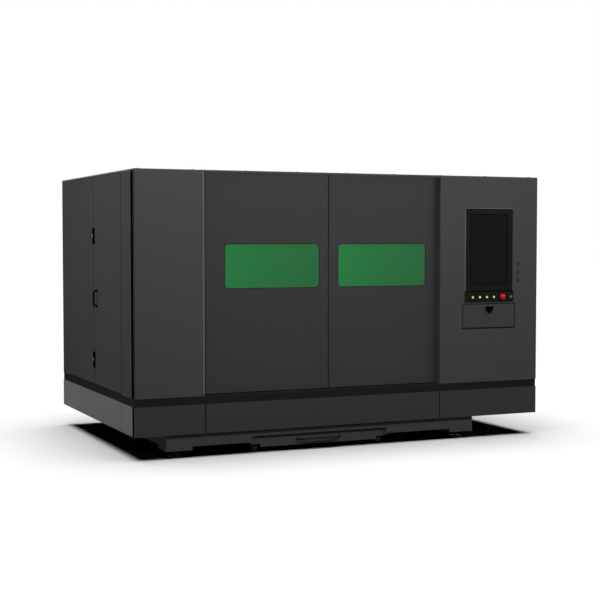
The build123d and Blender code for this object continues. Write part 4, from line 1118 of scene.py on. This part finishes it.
        # A black bar under the screen: painted shadow.
        foot = (low[0] - width, face - self.shadow_bar_lift, low[2] - self.shadow_bar_drop)
        self.bar("screen_shadow_bar", "black_plastic", foot, (high[0], back, low[2] - self.shadow_bar_gap), JET_BLACK_AND_PAINTED_SHADE)
        # A black line round the display: painted shadow.
        glass = Box.of("screen_glass")
        size = (glass.size.x + self.display_line, glass.size.z + self.display_line)
        seat = Seat((glass.centre.x, glass.low[1] - self.display_lift, glass.centre.z), Axis.FRONT)
        line = seat.rim(size, self.display_line, self.rim_lift, self.line_corner)
        self.piece("display_shadow_line", "black_plastic", line, JET_BLACK_AND_PAINTED_SHADE)

    def strip(self) -> None:
        """Builds the small end marks and the screws of the button plate."""
        strip = Box.of("button_plate")
        ends = (strip.low[0] + self.end_mark_inset, strip.high[0] - self.end_mark_inset)
        for name, x, finish in zip(("ready_mark", "fault_mark"), ends, (GREEN_PLASTIC, RED_PLASTIC)):
            mesh = Seat((x, strip.low[1], strip.centre.z), Axis.FRONT).plate(*self.end_mark)
            self.piece(name, "plate_plastic", mesh, finish)
        places = [(x, strip.low[1], z) for x, z in strip.corners(self.screw_inset)]
        self.screws("plate_screws", places, Axis.FRONT, self.plate_screw)

    def flap(self) -> None:
        """Builds the black line round the keyboard flap and the screw of its knob."""
        flap = Box.of("keyboard_flap")
        more = 2 * (self.seam_gap + self.seam_width)
        face = Box.of("console_panel").low[1]
        seat = Seat((flap.centre.x, face, flap.centre.z), Axis.FRONT)
        size = (flap.size.x + more, flap.size.z + more)
        seam = seat.rim(size, self.seam_width, self.seam_lift, self.line_corner)
        self.piece("flap_seal", "black_plastic", seam, GASKET)
        self.screws("knob_screw", [Box.of("flap_knob").front], Axis.FRONT, self.knob_screw, "knob")


@dataclass
class PanelTrim(Trim):
    """The painted highlight and the black strips of painted shadow at the left jamb and the front corner, the
    line of painted shade on the console's jamb, the strips over the doors, and the fixings of the outer
    panels.
    """

    # Sizes of the painted highlight and the black strips of painted shadow at the jambs and the front corner,
    # and of the line of painted shade on the console's jamb.
    edge_width: float = 0.0115
    edge_lift: float = 0.0006
    inset_from_edge: float = 0.0042
    shadow_strip_lift: float = 0.0003
    jamb_depth: float = 0.0085
    shadow_strip_width: float = 0.0068
    shadow_strip_depth: float = 0.0065
    right_edge_width: float = 0.0042
    right_edge_lift: float = 0.0004
    strip_depth: float = 0.001
    foot_gap: float = 0.016
    head_gap: float = 0.004
    corner_gap: float = 0.002
    hair: float = 0.0002
    strip_gap: float = 0.0012
    lip_height: float = 0.0085
    lip_depth: float = 0.005
    lip_inset: float = 0.0004
    head_strip_depth: Size = (0.0008, 0.004)
    roof_inset: float = 0.045
    panel_inset: float = 0.022
    end_inset: float = 0.06
    lock_drop: float = 0.07
    lock_ring: Round = (0.0125, 0.004, 0.003, 24)
    lock_barrel: Round = (0.0105, 0.0018, 0.0006, 24)
    lock_slot: Plate = ((0.0022, 0.012), 0.0026, 0.0004, 0.0)
    skirt_inset: float = 0.05
    flange_inset: float = 0.014
    flange_lift: float = 0.004
    flange_bolts: int = 8
    panel_screw: Screw = Screw(0.006, 0.0028)
    roof_screw: Screw = Screw(0.008, 0.0035)
    flange_bolt: Screw = Screw(0.0065, 0.0045, 6, ZINC)

    def build(self) -> None:
        """Builds the trim of the front, sides, rear and roof."""
        self.jamb_edges()
        self.door_lip()
        self.head_strip()
        self.roof()
        self.rear()
        self.right_side()
        self.skirts()

    def jamb_edges(self) -> None:
        """Builds the painted highlight and the black strip of painted shadow at the left panel's jamb, black
        strips of painted shadow at the front corner, and a darker line of painted shade on the console's
        jamb.
        """
        low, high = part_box("front_panel_left")
        foot, head = low[2] + self.foot_gap, high[2] - self.head_gap
        edge, back = high[0] - self.inset_from_edge, low[1] + self.strip_depth
        # A pale bar on the left panel's jamb: painted highlight.
        self.bar("jamb_left_painted_highlight", "charcoal_paint", (edge - self.edge_width, low[1] - self.edge_lift, foot),
                 (edge, back, head), PAINTED_RIM_DIM_HIGHLIGHT)
        # A black bar beside it, towards the door: painted shadow of the panel's edge on the door.
        self.bar("jamb_left_shadow_strip", "black_plastic", (edge, low[1] - self.shadow_strip_lift, foot),
                 (high[0] - self.hair, low[1] + self.jamb_depth, head), JET_BLACK_AND_PAINTED_SHADE)
        # Black bars at the front corner, on the front and on the side: painted shadow of the corner's gap.
        base, top = low[2] + self.corner_gap, high[2] - self.corner_gap
        self.bar("corner_shadow_strip", "black_plastic", (low[0] + self.hair, low[1] - self.shadow_strip_lift, base),
                 (low[0] + self.shadow_strip_width, low[1] + self.shadow_strip_depth, top), JET_BLACK_AND_PAINTED_SHADE)
        low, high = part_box("side_panel_front")
        base, top = low[2] + self.corner_gap, high[2] - self.corner_gap
        self.bar("corner_shadow_strip_side", "black_plastic", (low[0] - self.shadow_strip_lift, low[1] + self.hair, base),
                 (low[0] + self.shadow_strip_depth, low[1] + 2 * self.shadow_strip_width, top), JET_BLACK_AND_PAINTED_SHADE)
        low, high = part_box("console_panel")
        edge = low[0] + self.jamb_depth
        foot, head = low[2] + self.foot_gap, high[2] - self.head_gap
        # A darker bar on the console's jamb: painted shade.
        self.bar("jamb_right_painted_shade", "charcoal_paint", (edge, low[1] - self.right_edge_lift, foot),
                 (edge + self.right_edge_width, low[1] + self.strip_depth, head), JAMB_PAINTED_SHADE)

    def door_lip(self) -> None:
        """Builds the lip under the roof's front edge that hides the gap over the sliding doors."""
        left, right = Box.of("front_panel_left").high[0], Box.of("console_panel").low[0]
        low = Box.of("roof_panel").low
        gap, front = self.strip_gap, low[1] + self.lip_inset
        lip = self.bar("door_lip", "charcoal_paint", (left + gap, front, low[2] - self.lip_height),
                       (right - gap, front + self.lip_depth, low[2] - gap / 4), DOOR_PAINT)
        Studio.let_pass(lip)

    def head_strip(self) -> None:
        """Builds the rain strip that closes the gap over the two side doors."""
        low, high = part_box("side_door_front")
        back = Box.of("side_door_rear").high[1]
        roof = Box.of("roof_panel").low[2]
        gap, (outer, inner) = self.strip_gap, self.head_strip_depth
        self.bar("head_strip", "charcoal_paint", (low[0] + outer, low[1] + gap, high[2] + gap),
                 (low[0] + inner, back - gap, roof - gap / 4), SIDE_PAINT)

    def roof(self) -> None:
        """Builds the screws round the roof panel."""
        low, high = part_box("roof_panel")
        xs = spread(low[0] + self.roof_inset, high[0] - self.roof_inset, 9)
        ys = spread(low[1] + self.roof_inset, high[1] - self.roof_inset, 5)
        places = [(x, y, high[2]) for x in xs for y in (ys[0], ys[-1])]
        places += [(x, y, high[2]) for y in ys[1:-1] for x in (xs[0], xs[-1])]
        self.screws("roof_screws", places, Axis.UP, self.roof_screw)

    def rear(self) -> None:
        """Builds the screws and quarter-turn locks of the rear panels, and the duct flange's bolts."""
        low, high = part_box("rear_panels")
        skin = Box.of("right_side_panels").high[1]
        third = (high[0] - low[0]) / 3
        offsets = (self.panel_inset, third - self.panel_inset)
        xs = [low[0] + third * i + offset for i in range(3) for offset in offsets]
        zs = spread(low[2] + self.end_inset, high[2] - self.end_inset, 5)
        self.screws("rear_panel_screws", [(x, skin, z) for x in xs for z in zs], Axis.BACK, self.panel_screw)
        level = high[2] - self.lock_drop
        self.locks("rear_locks", [(low[0] + third * (i + 0.5), skin, level) for i in (0, 2)], Axis.BACK)
        flange = Box.of("exhaust_collar")
        reach = flange.size.x / 2 - self.flange_inset
        centre, face = flange.centre, skin + self.flange_lift
        around = circle(reach, self.flange_bolts, 0.5)
        bolts = [(centre.x + x, face, centre.z + z) for x, z in around]
        self.screws("flange_bolts", bolts, Axis.BACK, self.flange_bolt)

    def locks(self, name: str, places: Iterable[Point], axis: Axis) -> None:
        """Builds quarter-turn locks: a ring with a slotted barrel in it.

        Args:
            name: The piece's name.
            places: The centres of their feet.
            axis: The way that they face.
        """
        shapes = []
        for seat in (Seat(place, axis) for place in places):
            shapes += [seat.ring(*self.lock_ring), seat.disc(*self.lock_barrel), seat.plate(*self.lock_slot)]
        self.piece(name, "black_plastic", joined(shapes), BLACK_PLASTIC)

    def right_side(self) -> None:
        """Builds the screws and locks of the two fixed panels on the right."""
        low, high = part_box("right_side_panels")
        middle, quarter = (low[1] + high[1]) / 2, (high[1] - low[1]) / 4
        inset = self.panel_inset
        ys = (low[1] + inset, middle - inset, middle + inset, high[1] - inset)
        zs = spread(low[2] + self.end_inset, high[2] - self.end_inset, 5)
        places = [(high[0], y, z) for y in ys for z in zs]
        self.screws("right_panel_screws", places, Axis.RIGHT, self.panel_screw)
        level = high[2] - self.lock_drop
        locks = [(high[0], y, level) for y in (middle - quarter, middle + quarter)]
        self.locks("right_locks", locks, Axis.RIGHT)

    def skirts(self) -> None:
        """Builds the screws of the right and rear skirts."""
        side, rear, inset = Box.of("side_skirt_right"), Box.of("rear_skirt"), self.skirt_inset
        ys = spread(side.low[1] + inset, side.high[1] - inset, 4)
        places = [(side.high[0], y, side.centre.z) for y in ys]
        self.screws("right_skirt_screws", places, Axis.RIGHT, self.panel_screw)
        xs = spread(rear.low[0] + inset, rear.high[0] - inset, 6)
        places = [(x, rear.high[1], rear.centre.z) for x in xs]
        self.screws("rear_skirt_screws", places, Axis.BACK, self.panel_screw)


@dataclass
class SideDoorTrim(Trim):
    """The caps of the two latches, the gaskets of the side doors, and black strips of painted shade on the
    doors' front edges.
    """

    cap: Round = (0.0078, 0.0016, 0.0007, 24)
    # Sizes of the black strips of painted shade on the doors' front edges.
    edge_lift: float = 0.0012
    edge_lap: float = 0.0004
    edge_depth: float = 0.018
    edge_gap: float = 0.004
    inset_from_edge: float = 0.03
    seal_band: float = 0.008
    seal_height: float = 0.006
    seal_corner: float = 0.012
    seal_lap: float = 0.0005

    def build(self) -> None:
        """Builds both latches' caps, the black strips of painted shade on the doors' front edges, and the
        doors' gaskets.
        """
        for place in ("upper", "lower"):
            latch = Box.of(f"latch_{place}")
            cap = Seat((latch.low[0], latch.centre.y, latch.centre.z), Axis.LEFT).disc(*self.cap)
            self.piece(f"latch_cap_{place}", "steel", cap, SATIN_STEEL, f"{place}_latch")
        for side in ("front", "rear"):
            door, body = Box.of(f"side_door_{side}"), f"{side}_cabinet_door"
            low, high = door.low, door.high
            # A black strip on each door's front edge face: painted shade in the seam between the leaves.
            corner = (low[0] + self.edge_lift, low[1] - self.edge_lift, low[2] + self.edge_gap)
            far = (low[0] + self.edge_depth, low[1] + self.edge_lap, high[2] - self.edge_gap)
            self.bar(f"side_door_shade_strip_{side}", "black_plastic", corner, far, JET_BLACK_AND_PAINTED_SHADE, body)
            seat = Seat((high[0] - self.seal_lap, door.centre.y, door.centre.z), Axis.RIGHT)
            size = (door.size.z - self.inset_from_edge, door.size.y - self.inset_from_edge)
            seal = seat.rim(size, self.seal_band, self.seal_height, self.seal_corner)
            self.piece(f"side_door_seal_{side}", "black_plastic", seal, RUBBER, body)


@dataclass
class DrawerTrim(Trim):
    """The scrap drawer's handle screws, and the hubs of its wheels."""

    wheels: int = 4
    hub_ring: Round = (0.0125, 0.0026, 0.0012, 24)
    rivet: Round = (0.0014, 0.0012, 0.0004, 10)
    rivets: int = 5
    rivet_reach: float = 0.0165
    screw_inset: float = 0.012
    screw_rise: float = 0.018
    handle_screw: Screw = Screw(0.005, 0.002)

    def build(self) -> None:
        """Builds the drawer's trim."""
        handle, face = Box.of("drawer_handle"), Box.of("scrap_drawer").low[1]
        ends = (handle.low[0] + self.screw_inset, handle.high[0] - self.screw_inset)
        places = [(x, face, handle.centre.z + self.screw_rise) for x in ends]
        self.screws("handle_screws", places, Axis.FRONT, self.handle_screw, "drawer")
        for index in range(1, self.wheels + 1):
            self.hub(index)

    def hub(self, index: int) -> None:
        """Builds the two riveted hub caps of one wheel.

        Args:
            index: The wheel's number.
        """
        wheel = Box.of(f"drawer_wheel_{index}")
        centre, around = wheel.centre, circle(self.rivet_reach, self.rivets)
        caps = []
        for x, axis in ((wheel.low[0], Axis.LEFT), (wheel.high[0], Axis.RIGHT)):
            caps.append(Seat((x, centre.y, centre.z), axis).ring(*self.hub_ring))
            seats = [Seat((x, centre.y + y, centre.z + z), axis) for y, z in around]
            caps += [seat.disc(*self.rivet) for seat in seats]
        self.piece(f"wheel_hub_{index}", "steel", joined(caps), SATIN_STEEL, f"wheel_{index}")


@dataclass
class CuttingTrim(Trim):
    """The fixings of the rails, gantry and carriage, and the cutting head's fine parts."""

    rail_bolts: int = 24
    rail_inset: float = 0.03
    gantry_insets: Size = (0.05, 0.11)
    gantry_depths: Size = (0.12, 0.03)
    plate_setback: float = 0.012
    carriage_insets: Size = (0.016, 0.036)
    carriage_drops: Size = (0.02, 0.13)
    plug_rise: float = 0.085
    plug_offset: float = 0.013
    plug: tuple[Size, ...] = (
        (0.0, 0.0), (0.008, 0.0), (0.008, 0.006), (0.0095, 0.006), (0.0095, 0.015), (0.006, 0.019),
        (0.0, 0.019),
    )
    lens_reach: float = 0.038
    lens_level: float = 0.085
    lens_drawer: Plate = ((0.046, 0.017), 0.003, 0.003, 0.001)
    lens_screw_offset: float = 0.018
    nozzle: tuple[Size, ...] = (
        (0.0034, 0.0), (0.0088, 0.0102), (0.0152, 0.0102), (0.0152, 0.009), (0.0098, 0.009), (0.0046, -0.0006)
    )
    sleeve: tuple[Size, ...] = ((0.0151, 0.0104), (0.0151, 0.0158), (0.0158, 0.0158), (0.0158, 0.0104))
    fitting: tuple[Size, ...] = (
        (0.0, 0.0), (0.006, 0.0), (0.006, 0.01), (0.0045, 0.01), (0.0045, 0.016), (0.0, 0.016)
    )
    fitting_reach: float = 0.034
    fitting_levels: Size = (0.06, 0.115)
    rail_bolt: Screw = Screw(0.0048, 0.0008, 12)
    gantry_bolt: Screw = Screw(0.008, 0.006)
    carriage_bolt: Screw = Screw(0.0055, 0.005)
    lens_screw: Screw = Screw(0.0026, 0.0012, 12)

    def build(self) -> None:
        """Builds the cutting machinery's details."""
        self.rails()
        self.gantry()
        self.carriage()
        self.head()

    def rails(self) -> None:
        """Builds the bolts down the middle of both guide rails."""
        low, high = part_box("guide_rails")
        ys = spread(low[1] + self.rail_inset, high[1] - self.rail_inset, self.rail_bolts)
        places = [(x, y, high[2]) for x in self.rail_lines() for y in ys]
        self.screws("rail_bolts", places, Axis.UP, self.rail_bolt)

    def rail_lines(self) -> Size:
        """The X of the two guide rails' middle lines, read from the rails' top faces.

        Returns:
            The left one and the right one.
        """
        rails = Box.of("guide_rails")
        near_top = rails.high[2] - 0.0005
        tops = [v.co.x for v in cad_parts["guide_rails"].data.vertices if v.co.z > near_top]
        left = [x for x in tops if x < rails.centre.x]
        right = [x for x in tops if x > rails.centre.x]
        return (min(left) + max(left)) / 2, (min(right) + max(right)) / 2

    def gantry(self) -> None:
        """Builds the bolts of the beam's end plates, on its top."""
        low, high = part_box("gantry_beam")
        near, far = self.gantry_insets
        xs = (low[0] + near, low[0] + far, high[0] - far, high[0] - near)
        places = [(x, high[1] - depth, high[2]) for x in xs for depth in self.gantry_depths]
        self.screws("gantry_bolts", places, Axis.UP, self.gantry_bolt, "gantry")

    def carriage(self) -> None:
        """Builds the carriage plate's bolts and the servo's two plugs."""
        carriage, top = Box.of("head_carriage"), Box.of("gantry_beam").high[2]
        low, high = carriage.low, carriage.high
        face = low[1] + self.plate_setback
        near, far = self.carriage_insets
        xs = (low[0] + near, low[0] + far, high[0] - far, high[0] - near)
        places = [(x, face, top - drop) for x in xs for drop in self.carriage_drops]
        self.screws("carriage_bolts", places, Axis.FRONT, self.carriage_bolt, "carriage")
        middle, level = carriage.centre.x, top + self.plug_rise
        ends = (middle - self.plug_offset, middle + self.plug_offset)
        seats = [Seat((end, high[1], level), Axis.BACK) for end in ends]
        plugs = joined(seat.turned(self.plug, 20) for seat in seats)
        self.piece("servo_plugs", "black_plastic", plugs, BLACK_PLASTIC, "carriage")

    def head(self) -> None:
        """Builds the copper nozzle, the ceramic ring, the lens drawer's front and the gas fittings."""
        head = Box.of("cutting_head")
        (x, front, _), tip = head.front, head.low[2]
        column = front + self.lens_reach
        below = Seat((x, column, tip), Axis.UP)
        self.piece("nozzle", "steel", below.turned(self.nozzle), COPPER, "head")
        self.piece("ceramic_ring", "steel", below.turned(self.sleeve), CERAMIC, "head")
        level, lift = tip + self.lens_level, self.lens_drawer[1]
        drawer = Seat((x, front, level), Axis.FRONT).plate(*self.lens_drawer)
        self.piece("lens_drawer_front", "black_plastic", drawer, RED_PLASTIC, "head")
        ends = (x - self.lens_screw_offset, x + self.lens_screw_offset)
        places = [(end, front - lift, level) for end in ends]
        self.screws("lens_drawer_screws", places, Axis.FRONT, self.lens_screw, "head")
        side = x + self.fitting_reach
        seats = [Seat((side, column, tip + rise), Axis.RIGHT) for rise in self.fitting_levels]
        fittings = joined(seat.turned(self.fitting, 18) for seat in seats)
        self.piece("gas_fittings", "steel", fittings, BRASS, "head")


@dataclass
class CabinetTrim(Trim):
    """The fine parts of the laser source and the drives in the left cabinet."""

    handle_reach: float = 0.029
    source_insets: Point = (0.014, 0.02, 0.012)
    lamp_offset: float = 0.13
    lamp_pitch: float = 0.016
    lamp_drop: float = 0.04
    lamps: int = 4
    lamp: Round = (0.0035, 0.0016, 0.0008, 16)
    sockets: int = 2
    socket: Plate = ((0.036, 0.016), 0.003, 0.003, 0.0008)
    socket_offset: float = 0.024
    socket_rise: float = 0.03
    socket_pitch: float = 0.026
    drives: int = 4
    terminals: int = 5
    terminal: Plate = ((0.017, 0.0125), 0.006, 0.001, 0.0006)
    terminal_pitch: float = 0.016
    terminal_drop: float = 0.108
    window: Plate = ((0.024, 0.052), 0.0018, 0.003, 0.0006)
    window_rise: float = 0.1
    drive_lamp: Round = (0.0028, 0.0012, 0.0005, 14)
    drive_lamp_offset: float = 0.034
    source_screw: Screw = Screw(0.0035, 0.0014, 12)

    def build(self) -> None:
        """Builds the services' details."""
        self.source()
        self.drive_fronts()

    def source(self) -> None:
        """Builds the laser source's screws, lamps and sockets."""
        low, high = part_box("laser_source")
        face = low[0] + self.handle_reach
        side, foot, head = self.source_insets
        ys, zs = (low[1] + side, high[1] - side), (low[2] + foot, high[2] - head)
        self.screws("source_screws", [(face, y, z) for y in ys for z in zs], Axis.LEFT, self.source_screw)
        start, level = (low[1] + high[1]) / 2 + self.lamp_offset, high[2] - self.lamp_drop
        seats = [Seat((face, start + self.lamp_pitch * i, level), Axis.LEFT) for i in range(self.lamps)]
        lamps = joined(seat.disc(*self.lamp) for seat in seats)
        self.piece("source_lamps", "green_plastic", lamps, STATUS_LENS)
        y, level = start + self.socket_offset, low[2] + self.socket_rise
        seats = [Seat((face, y, level + self.socket_pitch * i), Axis.LEFT) for i in range(self.sockets)]
        sockets = joined(seat.plate(*self.socket) for seat in seats)
        self.piece("source_sockets", "black_plastic", sockets, BLACK_PLASTIC)

    def drive_fronts(self) -> None:
        """Builds the terminal blocks, windows and lamps of the drives."""
        rack = Box.of("drive_rack")
        face, middle = rack.low[0], rack.centre.z
        pitch = rack.size.y / (self.drives + 1)
        foot, level = middle - self.terminal_drop, middle + self.window_rise
        blocks, windows, lamps = [], [], []
        for i in range(self.drives):
            y = rack.low[1] + (i + 1) * pitch
            start = y - self.terminal_pitch * (self.terminals - 1) / 2
            for j in range(self.terminals):
                place = (face, start + self.terminal_pitch * j, foot)
                blocks.append(Seat(place, Axis.LEFT).plate(*self.terminal))
            windows.append(Seat((face, y, level), Axis.LEFT).plate(*self.window))
            place = (face, y - self.drive_lamp_offset, level)
            lamps.append(Seat(place, Axis.LEFT).disc(*self.drive_lamp))
        self.piece("drive_terminals", "green_plastic", joined(blocks), TERMINAL_PLASTIC)
        self.piece("drive_windows", "display_glass", joined(windows), SCREEN)
        self.piece("drive_lamps", "green_plastic", joined(lamps), STATUS_LENS)


class Reach(Enum):
    """What a light reaches: the name of its list, the nodes in it beside the floor, and its state."""

    FLOOR = ("floor_alone", (), "INCLUDE")
    MACHINE = ("floor_spared", (), "EXCLUDE")
    UPPER = ("low_parts_spared", ("base_frame", "levelling_feet"), "EXCLUDE")


@dataclass(frozen=True)
class Sun:
    """A distant light, as wide as a softbox.

    Its azimuth is in degrees from the front towards the right, its elevation and spread are in degrees, and
    its strength is an irradiance.
    """

    name: str
    azimuth: float
    elevation: float
    spread: float
    strength: float
    reach: Reach = Reach.MACHINE
    past_roof: bool = False

    def build(self) -> Thing:
        """Builds the light.

        Returns:
            The light.
        """
        data = bpy.data.lights.new(self.name, "SUN")
        data.angle = math.radians(self.spread)
        data.energy = self.strength
        made = bpy.data.objects.new(self.name, data)
        turn, rise = math.radians(self.azimuth), math.radians(self.elevation)
        flat = math.cos(rise)
        towards = Vector((math.sin(turn) * flat, -math.cos(turn) * flat, math.sin(rise)))
        made.rotation_euler = towards.to_track_quat("Z", "Y").to_euler()
        return made


@dataclass(frozen=True)
class Softbox:
    """A long softbox above one side of the machine, which lights that side more at its top.

    Its place, aim and size are in metres, and its power is in watts.
    """

    name: str
    place: Point
    aim: Point
    size: Size
    power: float
    reach: Reach = Reach.MACHINE
    past_roof: bool = False

    def build(self) -> Thing:
        """Builds the light, which the camera doesn't see.

        Returns:
            The light.
        """
        data = bpy.data.lights.new(self.name, "AREA")
        data.shape = "RECTANGLE"
        data.size, data.size_y = self.size
        data.energy = self.power
        made = bpy.data.objects.new(self.name, data)
        made.location = self.place
        towards = Vector(self.aim) - Vector(self.place)
        made.rotation_euler = towards.to_track_quat("-Z", "Y").to_euler()
        made.visible_camera = False
        return made


LAMPS: tuple[Union[Sun, Softbox], ...] = (
    Sun("overhead", 0.0, 90.0, 52.0, 3.42, Reach.FLOOR),
    Sun("key", -32.0, 14.0, 50.0, 0.4, past_roof=True),
    Sun("right_fill", 52.0, 14.0, 60.0, 0.25, past_roof=True),
    Sun("right", 100.0, 25.0, 70.0, 0.9),
    Sun("back_left_fill", -125.0, 35.0, 60.0, 0.9, Reach.UPPER),
    Sun("back_right_fill", 150.0, 35.0, 80.0, 1.9),
    Sun("top", 0.0, 89.0, 20.0, 2.2),
    Softbox("front_softbox", (0.1, -3.2, 2.5), (0.1, -0.9, 1.3), (5.6, 0.8), 70.0, past_roof=True),
    Softbox("side_softbox", (-4.0, -0.4, 3.0), (-1.4, -0.1, 1.2), (3.2, 1.0), 80.0, Reach.UPPER),
)


@dataclass
class Studio:
    """The floor, the lights, the world and the camera."""

    floor_colour: str = "f9f9f9"
    floor_reach: float = 60.0
    camera_place: Point = (-3.731, -8.4676, 1.3642)
    camera_yaw: float = 24.051
    camera_pitch: float = 2.678
    lens: float = 77.18
    far_clip: float = 200.0

    def build(self) -> None:
        """Builds the whole studio."""
        floor = self.floor()
        self.world()
        self.lights(floor)
        self.camera()

    def floor(self) -> Thing:
        """Builds a wide pale floor that shows shadows but gives no light back.

        Returns:
            The floor.
        """
        mesh = bmesh.new()
        bmesh.ops.create_grid(mesh, x_segments=1, y_segments=1, size=self.floor_reach)
        made = placed("floor", mesh)
        white = Shader("floor_white").surface("ShaderNodeBsdfDiffuse", Color=shade(self.floor_colour))
        made.data.materials.append(white)
        made.visible_diffuse = False
        return made

    def world(self) -> None:
        """Builds a world that looks white but leaves the lighting to the lamps."""
        world = bpy.data.worlds.new("studio")
        world.use_nodes = True
        bpy.context.scene.world = world
        nodes = Nodes(world.node_tree)
        path = nodes.node("ShaderNodeLightPath").outputs
        seen = Value(nodes, path["Is Camera Ray"])
        for name in ("Is Glossy Ray", "Is Transmission Ray"):
            seen = seen.most(Value(nodes, path[name]))
        background = nodes.node("ShaderNodeBackground", inputs={"Color": (1.0, 1.0, 1.0), "Strength": seen})
        nodes.node("ShaderNodeOutputWorld", inputs={0: background.outputs[0]})

    def lights(self, floor: Thing) -> None:
        """Builds the floor's overhead light and the wide soft lights round the machine.

        Args:
            floor: The floor, which only the overhead light reaches.
        """
        lists = {}
        for reach in Reach:
            name, nodes, state = reach.value
            lists[reach] = self.listed(name, [floor, *(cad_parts[node] for node in nodes)], state)
        passed = self.listed("roof_passed", [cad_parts["roof_panel"]], "EXCLUDE")
        for lamp in LAMPS:
            made = lamp.build()
            made.light_linking.receiver_collection = lists[lamp.reach]
            made.light_linking.blocker_collection = passed if lamp.past_roof else None
            bpy.context.scene.collection.objects.link(made)

    @staticmethod
    def listed(name: str, things: list[Thing], state: str) -> bpy.types.Collection:
        """Lists the only things that a light meets, or those that it leaves out.

        Args:
            name: The list's name.
            things: What is listed.
            state: INCLUDE or EXCLUDE.

        Returns:
            The list, for a light's receivers or for what blocks it.
        """
        made = bpy.data.collections.new(name)
        for index, thing in enumerate(things):
            made.objects.link(thing)
            made.collection_objects[index].light_linking.link_state = state
        return made

    @staticmethod
    def let_pass(thing: Thing) -> None:
        """Lets the front lights pass one more thing under the roof's edge.

        Args:
            thing: What no longer shades the front.
        """
        passed = bpy.data.collections["roof_passed"]
        passed.objects.link(thing)
        passed.collection_objects[-1].light_linking.link_state = "EXCLUDE"

    def camera(self) -> None:
        """Builds the camera at the photograph's place and angle."""
        data = bpy.data.cameras.new("camera")
        data.lens = self.lens
        data.clip_end = self.far_clip
        made = bpy.data.objects.new("camera", data)
        made.location = self.camera_place
        made.rotation_euler = (math.radians(90 - self.camera_pitch), 0.0, math.radians(-self.camera_yaw))
        bpy.context.scene.collection.objects.link(made)
        bpy.context.scene.camera = made
        bpy.context.scene.view_settings.view_transform = "Standard"


def main() -> None:
    """Builds the studio, the finishes and the pieces, in order."""
    logging.basicConfig(level=logging.INFO, format="%(message)s")
    shop = Workshop()
    Studio().build()
    shop.dress_nodes()
    for kind in (DoorTrim, ConsoleTrim, PanelTrim, SideDoorTrim, DrawerTrim, CuttingTrim, CabinetTrim):
        log.info("building %s", kind.__name__)
        kind(shop).build()


if __name__ == "__main__":
    main()
